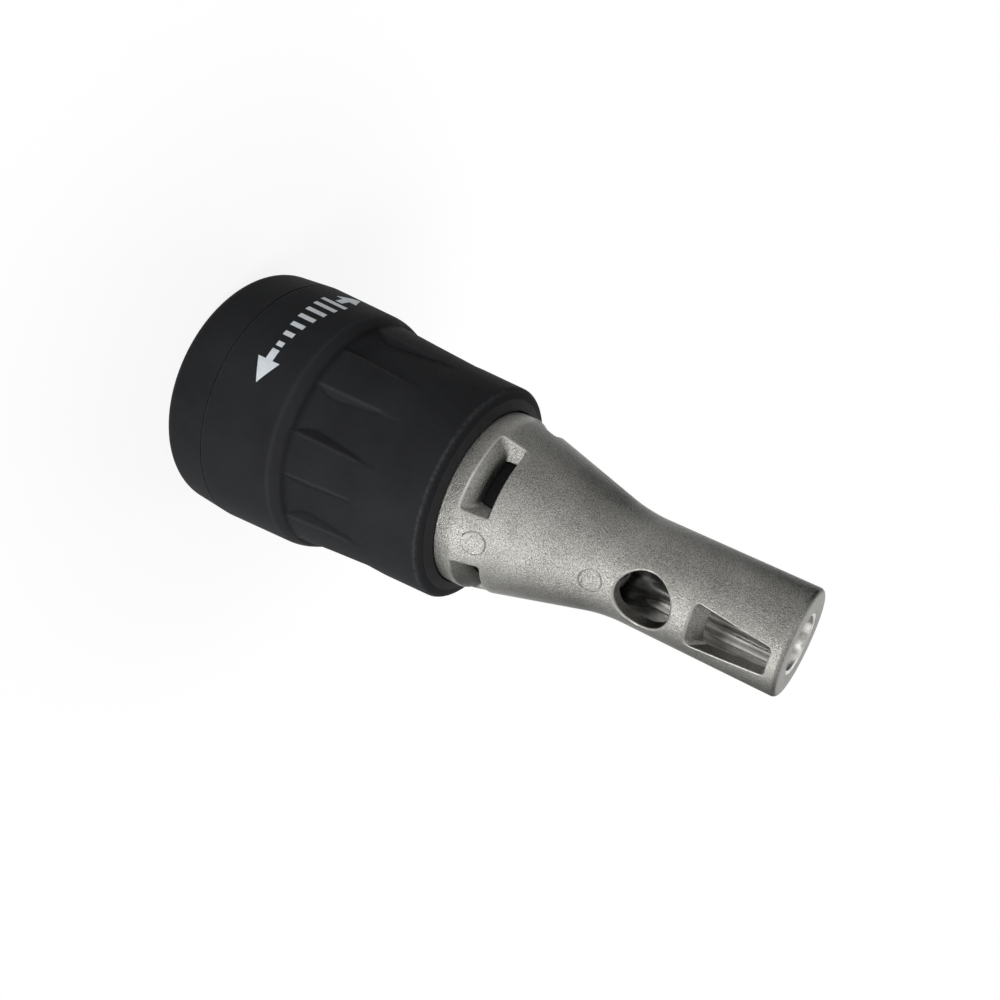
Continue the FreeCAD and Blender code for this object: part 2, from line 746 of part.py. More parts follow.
def make_adjusting_ring():
    """Grip ring with a smooth band, eight scooped panels and an inner web that runs on the neck."""
    body = new_body("adjusting_ring")
    turned(body, "ring_shell", [
        (cavity_radius, ring_rear),
        (band_radius, ring_rear),
        (band_front_radius, band_front),
        (shoulder_radius, shoulder_front),
        (ridge_radius, ridge_front),
        (grip_front_radius, grip_front),
        (wiper_radius, ring_front),
        (wiper_radius, wiper_rear),
        (thread_sleeve_radius, wiper_rear),
        (thread_sleeve_radius, thread_sleeve_rear),
        (thread_sleeve_radius - S.sleeve_shoulder_wall, thread_sleeve_rear),
        (thread_sleeve_radius - S.sleeve_shoulder_wall, web_front),
        (neck_radius + S.running_clearance, web_front),
        (neck_radius + S.running_clearance, web_rear),
        (cavity_radius, web_rear)], roundings=[
            ((band_front_radius, band_front), S.band_rounding),
            ((shoulder_radius, shoulder_front), S.shoulder_rounding),
            ((grip_front_radius, grip_front), S.front_rounding)])
    sketch = sketch_on(body, "panel_outline", "XY_Plane", band_front + S.panel_start, S.panel_turn)
    panel_outline(sketch)
    panel = pocket(body, "panel", sketch, grip_front - band_front, away=True)
    polar(body, "panels", [panel], S.panel_count)
    edges = rim(body.Tip, panel_floor_radius, band_front + S.panel_start)
    rounded(body, "panel_rounding", edges, S.panel_rounding)
    sketch = sketch_on(body, "notch_outline", "XY_Plane", ring_rear)
    circle(sketch, S.ball_radius, ZERO, cavity_radius + S.notch_depth - S.ball_radius)
    notch = pocket(body, "notch", sketch, web_rear - ring_rear, away=True)
    polar(body, "notches", [notch], S.notch_count)


def make_wiper():
    """Rubber lip in the ring's front mouth."""
    body = new_body("wiper_ring")
    slope = S.front_rise / (grip_front_radius - wiper_radius)
    turned(body, "wiper_ring_lip", [
        (wiper_bore, wiper_rear),
        (wiper_radius, wiper_rear),
        (wiper_radius, ring_front),
        (wiper_bore, ring_front + slope * S.wiper_wall)])


def thread_outline(sketch, root, crest, root_width, crest_width, height):
    """Trapezium of one thread turn, centred on a height."""
    outline(sketch, [
        (root, height - root_width * HALF_share),
        (crest, height - crest_width * HALF_share),
        (crest, height + crest_width * HALF_share),
        (root, height + root_width * HALF_share)])


def helix(body, kind, name, sketch, length):
    """Right-hand thread of the sheet's lead."""
    item = feature(body, kind, name, sketch, ReferenceAxis=(sketch, ["V_Axis"]), Mode="pitch-height-angle")
    bind(item, "Pitch", S.thread_lead)
    bind(item, "Height", length)
    doc.recompute()
    return item


def make_thread_sleeve():
    """Threaded insert of the ring."""
    body = new_body("thread_sleeve")
    bore = thread_core_radius + S.thread_clearance
    turned(body, "thread_sleeve_tube", ring_outline(
        bore, thread_sleeve_radius, thread_sleeve_rear, thread_sleeve_front))
    sketch = sketch_on(body, "groove_outline", "XZ_Plane")
    both_sides = S.thread_clearance * 2
    thread_outline(sketch, bore - S.thread_clearance, thread_crest_radius + S.thread_clearance,
                   S.thread_root_width + both_sides, S.thread_crest_width + both_sides,
                   carrier_rear + S.thread_root_width - S.thread_lead * 2)
    helix(body, "SubtractiveHelix", "groove", sketch, S.thread_sleeve_length + S.thread_lead * 2)


def make_carrier():
    """Splined tube that the thread moves along the hub."""
    body = new_body("nose_carrier")
    turned(body, "carrier_tube", [
        (carrier_bore, carrier_rear),
        (thread_core_radius, carrier_rear),
        (thread_core_radius, seat_rear),
        (seat_radius, seat_rear),
        (seat_radius, seat_front),
        (spigot_radius, seat_front),
        (spigot_radius, spigot_front),
        (carrier_bore, spigot_front)])
    half = S.seal_groove_width * HALF_share
    floor = spigot_radius + S.slide_clearance - S.seal_section_radius * 2
    turned(body, "seal_groove", ring_outline(
        floor, spigot_radius + S.overrun, o_ring_height - half, o_ring_height + half), "Groove")
    sketch = sketch_on(body, "key_outline", "XY_Plane", carrier_rear)
    side = S.spline_width * HALF_share + S.slide_clearance
    rectangle(sketch, carrier_bore - S.overrun, hub_radius + S.spline_height + S.slide_clearance, -side, side)
    keyway = pocket(body, "keyway", sketch, seat_front - carrier_rear, away=True)
    polar(body, "keyways", [keyway], S.spline_count)
    sketch = sketch_on(body, "thread_outline", "XZ_Plane")
    thread_outline(sketch, thread_core_radius - S.thread_clearance, thread_crest_radius,
                   S.thread_root_width, S.thread_crest_width, carrier_rear + S.thread_root_width)
    helix(body, "AdditiveHelix", "thread", sketch, S.carrier_thread_length - S.thread_root_width * 2)
    ring = doc.addObject("Part::Torus", "carrier_o_ring")
    ring.Label = "carrier_o_ring"
    bind(ring, "Radius1", floor + S.seal_section_radius)
    bind(ring, "Radius2", S.seal_section_radius)
    bind(ring, "Placement.Base.z", o_ring_height)
    nodes.append(ring)


def window_rims(item):
    """Names of the edges where the two windows break through the tube's outside."""
    names = []
    for index, edge in enumerate(item.Shape.Edges, 1):
        points = edge.discretize(Number=5)
        on_tube = all(abs(math.hypot(p.x, p.y) - tube_radius.value) < MATCH_TOLERANCE for p in points)
        upright = abs(points[0].z - points[-1].z) + abs(points[0].z - points[2].z) > MATCH_TOLERANCE
        ahead = edge.CenterOfMass.z > cone_front.value and edge.CenterOfMass.y < 0
        at_tip = abs(points[0].z - nose_front.value) <= S.window_front_offset.value
        if on_tube and ahead and (upright or not at_tip):
            names.append("Edge%d" % index)
    return names


def wedge_cut(body, name, turn):
    """Cut with flat drafted sides, turned about the tool axis; its second axis points outwards."""
    item = body.newObject("PartDesign::SubtractiveWedge", name)
    spin = FreeCAD.Rotation(FreeCAD.Vector(0, 0, 1), turn.value)
    item.Placement = FreeCAD.Placement(FreeCAD.Vector(), spin)
    bind(item, "Placement.Rotation.Angle", turn)
    return item


def window_block():
    """Block that the tapered window takes out of the tube: straight sides and a sloped rear wall."""
    body = doc.addObject("PartDesign::Body", "window_block")
    inner = tube_radius - S.window_depth
    outer = tube_radius + S.overrun
    mouth_rear = window_rear - S.window_slope * S.overrun / S.window_depth
    sketch = sketch_on(body, "window_outline", "XZ_Plane", inner)
    outline(sketch, [
        (-S.window_rear_half_width, mouth_rear),
        (S.window_rear_half_width, mouth_rear),
        (S.window_front_half_width, window_front),
        (-S.window_front_half_width, window_front)], [S.window_corner_radius] * 4)
    pad(body, "window_prism", sketch, outer - inner)
    half = S.window_rear_half_width + S.overrun
    sketch = sketch_on(body, "window_slope_outline", "YZ_Plane", -half)
    outline(sketch, [
        (-outer, mouth_rear),
        (-inner, window_rear + S.window_slope),
        (-inner, mouth_rear - S.overrun),
        (-outer, mouth_rear - S.overrun)])
    pocket(body, "window_slope", sketch, half * 2, away=True)
    return body


def make_nose():
    """Cast nose: base, cone and tube with ribs, finger slots and two windows."""
    body = new_body("nose_sleeve")
    slope = (nose_radius - tube_radius) / S.cone_length
    inner_cone_rear = spigot_front + S.free_gap * 2
    inner_cone_front = inner_cone_rear + (spigot_bore - tube_bore) / slope
    turned(body, "nose_shell", [
        (spigot_bore, nose_rear),
        (nose_radius, nose_rear),
        (nose_radius, cone_rear),
        (tube_radius, cone_front),
        (tube_radius, nose_front),
        (S.front_bore_radius, nose_front),
        (S.front_bore_radius, nose_cavity_front),
        (tube_bore, nose_cavity_front),
        (tube_bore, inner_cone_front),
        (spigot_bore, inner_cone_rear)], roundings=[
            ((nose_radius, cone_rear), S.base_rounding),
            ((tube_radius, cone_front), S.cone_rounding),
            ((tube_radius, nose_front), S.tip_rounding)])
    rounded(body, "bore_chamfer", rim(body.Tip, S.front_bore_radius, nose_front), S.bore_chamfer, "Chamfer")
    sketch = sketch_on(body, "rib_outline", "XY_Plane", inner_cone_front, S.rib_turn)
    half = S.rib_width * HALF_share
    rectangle(sketch, rib_crest_radius, tube_bore + S.tube_wall * HALF_share, -half, half)
    rib = pad(body, "rib", sketch, nose_cavity_front - inner_cone_front)
    polar(body, "ribs", [rib], S.rib_count)
    slot = wedge_cut(body, "slot", S.slot_turn)
    slot_rear = cone_rear - S.slot_lead
    slot_front = slot_rear + S.slot_length
    extents = [
        ("Xmin", -S.slot_floor_half_width), ("Xmax", S.slot_floor_half_width),
        ("X2min", -S.slot_half_width), ("X2max", S.slot_half_width),
        ("Ymin", spigot_bore - S.slot_break), ("Ymax", nose_radius + S.slot_clear),
        ("Zmin", slot_rear + S.slot_floor_setback), ("Zmax", slot_front - S.slot_front_draft),
        ("Z2min", slot_rear), ("Z2max", slot_front)]
    for name, size in extents:
        bind(slot, name, size)
    doc.recompute()
    polar(body, "slots", [slot], S.slot_count)
    sketch = sketch_on(body, "round_window_outline", "XZ_Plane")
    circle(sketch, S.round_window_radius, ZERO, round_window_height)
    pocket(body, "round_window", sketch, tube_radius + S.overrun, away=True)
    window = body.newObject("PartDesign::Boolean", "tapered_window")
    window.setObjects([window_block()])
    window.Type = "Cut"
    doc.recompute()
    rounded(body, "window_bevel", window_rims(body.Tip), S.window_bevel, "Chamfer")


def tooth_outline(sketch, middle):
    """Sector of one clutch tooth as a flat-sided wedge round an angle."""
    spread = as_size(HALF_TURN) / S.tooth_count - S.tooth_side_gap
    low = middle - spread * HALF_share
    high = middle + spread * HALF_share
    outer = tooth_outer_radius / (spread * HALF_share).cosine()
    inner = S.tooth_inner_radius
    points = []
    for reach, angle in ((inner, low), (outer, low), (outer, high), (inner, high)):
        points.append((reach * angle.cosine(), reach * angle.sine()))
    outline(sketch, points)


def trim_outside(body, name, radius, low, high):
    """Turn everything outside a radius away between two heights."""
    turned(body, name, ring_outline(radius, radius + S.overrun * 2, low, high), "Groove")


def make_drive_dog():
    """Rear clutch half with the drive hexagon."""
    body = new_body("drive_dog")
    turned(body, "dog_shank", [
        (ZERO, dog_rear),
        (shank_radius, dog_rear),
        (shank_radius, head_rear),
        (head_radius, head_rear),
        (head_radius, head_front),
        (ZERO, head_front)])
    sketch = sketch_on(body, "dog_tooth_outline", "XY_Plane", head_front)
    tooth_outline(sketch, as_size(0))
    tooth = pad(body, "dog_tooth", sketch, S.tooth_height)
    polar(body, "dog_teeth", [tooth], S.tooth_count)
    trim_outside(body, "dog_teeth_rim", tooth_outer_radius, head_front, dog_tip)
    sketch = sketch_on(body, "drive_hex_outline", "XY_Plane", dog_rear)
    hexagon(sketch, S.drive_hex)
    pocket(body, "drive_hex", sketch, S.drive_hex_depth, away=True)
    sketch = sketch_on(body, "pilot_bore_outline", "XY_Plane", spring_rear)
    circle(sketch, pilot_bore)
    pocket(body, "pilot_bore", sketch, dog_tip - spring_rear + S.overrun, away=True)


def make_spindle():
    """Front clutch half, shaft and bit socket."""
    body = new_body("spindle")
    turned(body, "spindle_shaft", [
        (ZERO, pilot_rear),
        (S.pilot_radius, pilot_rear),
        (S.pilot_radius, plate_rear),
        (tooth_outer_radius, plate_rear),
        (tooth_outer_radius, plate_front),
        (S.shaft_radius, plate_front),
        (S.shaft_radius, shaft_front),
        (tenon_radius, shaft_front),
        (tenon_radius, tenon_front),
        (ZERO, tenon_front)])
    sketch = sketch_on(body, "spindle_tooth_outline", "XY_Plane", plate_rear)
    tooth_outline(sketch, as_size(HALF_TURN) / S.tooth_count)
    tooth = pad(body, "spindle_tooth", sketch, S.tooth_height, away=True)
    polar(body, "spindle_teeth", [tooth], S.tooth_count)
    trim_outside(body, "spindle_teeth_rim", tooth_outer_radius, spindle_tip, plate_rear)
    body = new_body("bit_socket")
    turned(body, "bit_socket_tube", [
        (tenon_radius, shaft_front),
        (bit_socket_radius, shaft_front),
        (bit_socket_radius, bit_socket_front),
        (ZERO, bit_socket_front),
        (ZERO, magnet_rear),
        (tenon_radius, magnet_rear)])
    edges = rim(body.Tip, bit_socket_radius, bit_socket_front)
    rounded(body, "socket_end", edges, S.mouth_chamfer, "Chamfer")
    sketch = sketch_on(body, "bit_hex_outline", "XY_Plane", bit_hex_rear)
    hexagon(sketch, S.bit_hex)
    pocket(body, "bit_hex", sketch, S.bit_hex_depth + S.overrun, away=True)
    sketch = sketch_on(body, "magnet_seat_outline", "XY_Plane", magnet_rear)
    circle(sketch, magnet_radius)
    pocket(body, "magnet_seat", sketch, S.magnet_length + S.overrun, away=True)
    clip_rear = bit_socket_front - S.bit_clip_offset
    clip_front = clip_rear + S.bit_clip_wire
    clip_bore = bit_clip_radius - S.bit_clip_wire
    turned(body, "bit_clip_groove", ring_outline(
        magnet_radius, bit_clip_radius, clip_rear, clip_front), "Groove")
    ring_piece("bit_magnet", ZERO, magnet_radius, magnet_rear, bit_hex_rear)
    open_clip("bit_clip", clip_bore, bit_clip_radius, clip_rear, clip_front, S.bit_clip_wire * 2)


def make_clutch_spring():
    """Compression spring in the drive dog's bore, pressing on the spindle's pilot."""
    body = new_body("clutch_spring")
    sketch = sketch_on(body, "wire_outline", "XZ_Plane")
    wire = S.spring_wire_radius
    circle(sketch, wire, S.pilot_radius - wire, spring_rear + wire)
    item = feature(body, "AdditiveHelix", "coil", sketch, ReferenceAxis=(sketch, ["V_Axis"]),
                   Mode="height-turns-angle")
    bind(item, "Height", S.spring_length - S.play - wire * 2)
    bind(item, "Turns", S.spring_turns)
    doc.recompute()


def write_nodes():
    """Check every object and write one file for each node."""
    for item in doc.Objects:
        if "Invalid" in item.State or "Error" in item.State:
            raise ValueError(item.Label + " is not valid: " + str(item.State))
    os.makedirs("parts", exist_ok=True)
    for node in nodes:
        shape = node.Shape
        if shape.isNull() or not shape.isValid():
            raise ValueError(node.Label + " has no valid shape")
        shape.exportStep("parts/%s.step" % node.Label)
        print("%-18s solids %d  volume %10.2f" % (node.Label, len(shape.Solids), shape.Volume))


make_housing()
make_bushes()
make_click_stop()
make_collar()
make_lock_pins()
make_adjusting_ring()
make_wiper()
make_thread_sleeve()
make_carrier()
make_nose()
make_drive_dog()
make_spindle()
make_clutch_spring()
doc.recompute()
write_nodes()
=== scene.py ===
import math

import bmesh
import bpy
from bpy.props import FloatProperty, FloatVectorProperty, IntProperty, PointerProperty
from mathutils import Matrix, Vector


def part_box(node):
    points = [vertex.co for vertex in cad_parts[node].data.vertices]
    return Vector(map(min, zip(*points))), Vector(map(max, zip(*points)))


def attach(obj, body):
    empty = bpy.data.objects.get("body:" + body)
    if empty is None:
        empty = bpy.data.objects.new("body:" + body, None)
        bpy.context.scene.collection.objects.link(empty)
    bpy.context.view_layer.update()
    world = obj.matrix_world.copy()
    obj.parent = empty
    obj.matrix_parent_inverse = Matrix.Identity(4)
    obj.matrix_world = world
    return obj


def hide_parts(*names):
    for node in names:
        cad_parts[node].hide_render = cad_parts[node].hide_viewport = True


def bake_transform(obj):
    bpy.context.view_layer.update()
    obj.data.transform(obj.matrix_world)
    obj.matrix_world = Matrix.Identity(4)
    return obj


bl_info = {
    "name": "Depth-stop nose attachment",
    "version": (1, 0, 0),
    "blender": (4, 5, 0),
    "location": "View3D > Sidebar > Depth stop",
    "description": "Pieces, print, finishes and stage of a depth-stop nose attachment",
    "category": "Object",
}

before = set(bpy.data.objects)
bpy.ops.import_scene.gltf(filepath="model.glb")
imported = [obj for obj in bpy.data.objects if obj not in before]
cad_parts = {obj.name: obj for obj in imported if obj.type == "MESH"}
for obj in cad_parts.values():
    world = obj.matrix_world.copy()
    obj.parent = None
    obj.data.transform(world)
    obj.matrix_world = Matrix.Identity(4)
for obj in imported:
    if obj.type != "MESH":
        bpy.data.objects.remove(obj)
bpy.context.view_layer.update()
RING_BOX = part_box("adjusting_ring")
NOSE_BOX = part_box("nose_sleeve")
SPRING_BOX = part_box("clutch_spring")
MM = 0.001
# Points nearer than a touch are one point, and faces thinner than a sliver are dropped.
TOUCH = 1e-6
SLIVER = TOUCH * 5
# How much nearer the collar the grip ring's rear edge is than its solid's.
SEAM_CLOSING = 0.12 * MM
# Outermost row of a rim's cutter, in shares of the rim's rounding, and the turns of its other rows.
LIP_FLARE_SHARE = 1.45
LIP_RISE_SHARE = 0.24
LIP_TURNS = (104.0, 122.0, 140.0, 158.0, 180.0)
# Ends of a finger slot's cutter, in shares of the base radius, the spigot's bore and the wall.
SLOT_TOP_SHARE = 1.35
SLOT_BOTTOM_SHARE = 0.9
SLOT_DEPTH_SHARE = 1.2
# Parts that the sides of a cutter's outline are cut into, from the rear side round.
WINDOW_CUTS = (10, 10, 10, 10)
SLOT_CUTS = (24, 6, 24, 6)
WHITE = (1.0, 1.0, 1.0, 1.0)


def measured(name, description, metres):
    """Length property with its default in metres, as the frame gives it."""
    return FloatProperty(name=name, description=description, default=metres, unit="LENGTH", precision=5)


def length(name, description, millimetres):
    """Length property with its default in millimetres."""
    return measured(name, description, millimetres * MM)


def turn(name, description, degrees):
    """Angle property with its default in degrees."""
    return FloatProperty(name=name, description=description, default=math.radians(degrees), unit="ROTATION")


def colour(name, description, red, green, blue):
    """Colour property with an opaque default."""
    return FloatVectorProperty(name=name, description=description, default=(red, green, blue, 1.0),
                               subtype="COLOR", size=4, min=0.0, max=1.0)


def share(name, description, default):
    """Plain number between nought and one."""
    return FloatProperty(name=name, description=description, default=default, subtype="FACTOR",
                         min=0.0, max=1.0)


def whole(name, description, default, smallest):
    """Count of like things."""
    return IntProperty(name=name, description=description, default=default, min=smallest)


def power(name, description, watts):
    """Power of a lamp."""
    return FloatProperty(name=name, description=description, default=watts, unit="POWER")


class GripSizes(bpy.types.PropertyGroup):
    """Outline, bore, scooped panels, worn lines, and lines of painted highlight and painted shade of the grip
    ring.
    """
    rear: measured("Seam edge", "Height of the rear edge at the collar's seam", RING_BOX[0][2] - SEAM_CLOSING)
    front: measured("Mouth edge", "Height of the front edge at the mouth", RING_BOX[1][2])
    band_radius: measured("Band radius", "Largest radius, at the seam", RING_BOX[1][0])
    band_front_radius: length("Band front radius", "Radius where the smooth band ends", 23.25)
    band_front: length("Band front", "Height where the smooth band ends", 25.75)
    shoulder_radius: length("Shoulder radius", "Radius at the foot of the shoulder", 22.05)
    shoulder_front: length("Shoulder front", "Height at the foot of the shoulder", 28.75)
    ridge_radius: length("Ridge radius", "Radius where the ridges fade out", 20.6)
    ridge_front: length("Ridge front", "Height where the ridges fade out", 46.25)
    rim_radius: length("Rim radius", "Radius of the front rim", 20.2)
    rim_front: length("Rim front", "Height of the front rim", 55.55)
    mouth_radius: length("Mouth radius", "Radius of the seat for the wiper", 18.4)
    seat_rear: length("Seat rear", "Height of the floor of the wiper's seat", 54.4)
    sleeve_radius: length("Sleeve radius", "Bore radius that holds the threaded sleeve", 17.0)
    sleeve_rear: length("Sleeve rear", "Height where the sleeve's bore ends", 26.0)
    hollow_radius: length("Hollow radius", "Bore radius between the sleeve and the web", 16.0)
    web_front: length("Web front", "Height of the web's front face", 18.5)
    web_radius: length("Web radius", "Bore radius of the web", 13.08)
    web_rear: length("Web rear", "Height of the web's rear face", 16.1)
    rear_bore: length("Rear bore", "Bore radius behind the web", 20.2)
    seam_rounding: length("Seam rounding", "Softening of the seam edge", 0.15)
    band_rounding: length("Band rounding", "Softening where band and shoulder meet", 1.1)
    shoulder_rounding: length("Shoulder rounding", "Softening at the foot of the shoulder", 0.35)
    rim_rounding: length("Rim rounding", "Softening of the front rim", 0.5)
    panel_count: whole("Panels", "Number of scooped panels", 8, 3)
    panel_turn: turn("Panel turn", "Angle of the first panel's middle", 11.2)
    panel_half: turn("Panel half angle", "Half the angle between a panel's edges at its rear", 12.2)
    panel_spread: turn("Panel spread", "How much wider half a panel is at its front", 0.9)
    panel_floor: length("Panel floor", "Smallest radius of the panels' floor", 20.4)
    panel_deep: length("Panel deep", "Height where a panel is deepest", 33.0)
    rear_rise: length("Rear rise", "Rise of a panel's floor from its deepest point to the shoulder", 1.35)
    wall_slope: FloatProperty(name="Wall slope", description="Fall of the panels' side walls", default=0.9)
    softness: length("Softness", "Rounding of the panels' edges", 0.08)
    steps: whole("Steps", "Faces round the ring", 576, 64)
    grain: length("Mesh step", "Height of one row of faces along the panels", 0.2)
    band_grain: length("Band step", "Height of one row of faces along the smooth band", 0.8)
    rim_rub: length("Rim rub", "Height of the rubbed line on the rim", 55.5)
    seam_rub: length("Seam rub", "Height of the rubbed line at the seam", 10.7)
    # The brow line below is a painted highlight along the rounded end of the band.
    brow: length("Brow", "Height of the lighter line where the band ends", 25.6)
    # The foot line below is painted shade along the shoulder's concave foot.
    foot: length("Foot", "Height of the dark line at the shoulder's foot", 28.2)
    # The worn stretch also bounds the crests' painted highlight and the hollows' painted shade.
    worn_middle: length("Worn middle", "Height of the middle of the panels' worn stretch", 33.5)
    worn_half: length("Worn half", "Half the height of the panels' worn stretch", 7.5)


class NoseSizes(bpy.types.PropertyGroup):
    """Outline, ribs, finger slots, windows and ejector marks of the cast nose."""
    rear: measured("Rear edge", "Height of the edge inside the grip ring", NOSE_BOX[0][2])
    front: measured("Tip", "Height of the front face", NOSE_BOX[1][2])
    base_radius: measured("Base radius", "Largest radius, behind the cone", NOSE_BOX[1][0])
    spigot_bore: length("Spigot bore", "Bore radius that slides over the carrier", 12.7)
    cone_rear: length("Cone rear", "Height where the cone starts", 60.35)
    cone_front: length("Cone front", "Height where the cone meets the tube", 85.35)
    tube_radius: length("Tube radius", "Outer radius of the tube", 9.45)
    tube_bore: length("Tube bore", "Bore radius of the tube", 7.1)
    bore_rear: length("Bore rear", "Height where the spigot bore ends", 65.6)
    bore_front: length("Bore front", "Height where the tube bore starts", 86.34)
    cavity_front: length("Cavity front", "Height of the front wall's inside", 114.15)
    mouth_radius: length("Mouth radius", "Radius of the hole in the front wall", 4.6)
    base_rounding: length("Base rounding", "Softening where base and cone meet", 0.9)
    cone_rounding: length("Cone rounding", "Softening where cone and tube meet", 3.2)
    tip_rounding: length("Tip rounding", "Softening of the front edge", 0.8)
    mouth_chamfer: length("Mouth chamfer", "Broken edge of the hole in the front wall", 0.75)
    rib_count: whole("Ribs", "Number of ribs in the tube", 12, 3)
    rib_turn: turn("Rib turn", "Angle of the first rib", -6.0)
    rib_height: length("Rib height", "Height of a rib over the bore", 1.3)
    rib_start: length("Rib start", "Height where the ribs start to rise", 86.4)
    rib_fade: length("Rib fade", "Run over which the ribs rise to their height", 6.0)
    rib_clear: turn("Rib clearance", "Angle to each side of the windows that has no ribs", 48.0)
    lip: length("Lip", "Rounding of the rims of the slots and the tapered window", 0.22)
    round_lip: length("Round lip", "Rounding of the round window's rim", 0.48)
    slot_count: whole("Slots", "Number of finger slots", 4, 1)
    slot_turn: turn("Slot turn", "Angle of the first finger slot", 45.0)
    slot_half: turn("Slot half angle", "Half the angle of a finger slot at the outside", 27.0)
    slot_floor_half: turn("Slot floor half angle", "Half the angle of a finger slot at the bore", 17.7)
    slot_rear: length("Slot rear", "Height of a slot's rear edge", 59.8)
    slot_front: length("Slot front", "Height of a slot's front edge", 65.1)
    slot_ramp: length("Slot ramp", "Run of a slot's sloped rear wall", 2.3)
    facet_depth: share("Facet depth", "Share of the wall's thickness that the rear facet takes", 0.42)
    facet_run: share("Facet run", "Share of the ramp's run that the rear facet takes", 0.8)
    slot_depth: length("Slot depth", "Depth of a slot's walls under the outside", 2.4)
    slot_corner: length("Slot corner", "Rounding of a slot's corners", 0.6)
    round_window: length("Round window", "Radius of the round window", 4.95)
    round_height: length("Round window height", "Height of the round window's middle", 92.65)
    round_steps: whole("Round window steps", "Faces round the round window", 72, 12)
    window_rear: length("Window rear", "Height of the tapered window's rear edge", 100.8)
    window_front: length("Window front", "Height of the tapered window's front edge", 114.5)
    window_rear_half: length("Window rear half", "Half width of the tapered window at its rear", 4.1)
    window_front_half: length("Window front half", "Half width of the tapered window at its front", 2.55)
    window_slope: FloatProperty(name="Window slope", description="Run of the sloped rear wall for its depth",
                                default=1.0)
    rear_corner: length("Rear corner", "Rounding of the tapered window's rear corners", 1.0)
    front_corner: length("Front corner", "Rounding of the tapered window's front corners", 0.8)
    rear_mark: length("Rear mark", "Height of the rear ejector mark", 63.8)
    rear_mark_radius: length("Rear mark radius", "Radius of the rear ejector mark", 2.1)
    front_mark: length("Front mark", "Height of the front ejector mark", 83.5)
    front_mark_radius: length("Front mark radius", "Radius of the front ejector mark", 1.95)
    cutter_top: length("Cutter top", "Distance from the axis where the windows' cutters start", 13.0)
    cutter_bottom: length("Cutter bottom", "Distance from the axis where the windows' cutters end", 2.2)
    steps: whole("Steps", "Faces round the nose", 288, 48)
    grain: length("Mesh step", "Height of one row of faces", 0.8)


class MarkSizes(bpy.types.PropertyGroup):
    """White print on the smooth band."""
    start: turn("Start", "Angle of the first arrow's tip", -124.0)
    end: turn("End", "Angle of the second arrow's tip", -199.0)
    middle: length("Middle", "Height of the mark's middle line", 18.4)
    arrow_length: turn("Arrow length", "Angle that an arrowhead takes up", 11.0)
    arrow_height: length("Arrow height", "Height of an arrowhead", 4.7)
    stem_length: turn("Stem length", "Angle that an arrow's stem takes up", 5.5)
    stem_height: length("Stem height", "Height of an arrow's stem", 1.5)
    bar_count: whole("Bars", "Number of graduated bars", 7, 2)
    bar_angle: turn("Bar width", "Angle that a bar takes up", 2.5)
    low_bar: length("Low bar", "Height of the lowest bar", 1.4)
    high_bar: length("High bar", "Height of the highest bar", 5.6)
    lift: length("Lift", "Height of the ink's back over the band", 0.01)
    ink: length("Ink", "Thickness of the ink", 0.02)


class SpringSizes(bpy.types.PropertyGroup):
    """Compression spring between the two halves of the clutch."""
    rear: measured("Rear end", "Height of the end that rests on the drive", SPRING_BOX[0][2])
    front: measured("Front end", "Height of the end that presses on the spindle", SPRING_BOX[1][2])
    radius: measured("Radius", "Outer radius of the coil", SPRING_BOX[1][0])
    wire: length("Wire", "Radius of the wire", 0.35)
    wire_steps: whole("Wire steps", "Faces round the wire", 14, 6)
    turns: whole("Turns", "Number of turns", 5, 2)
    steps: whole("Steps", "Faces along one turn", 48, 12)


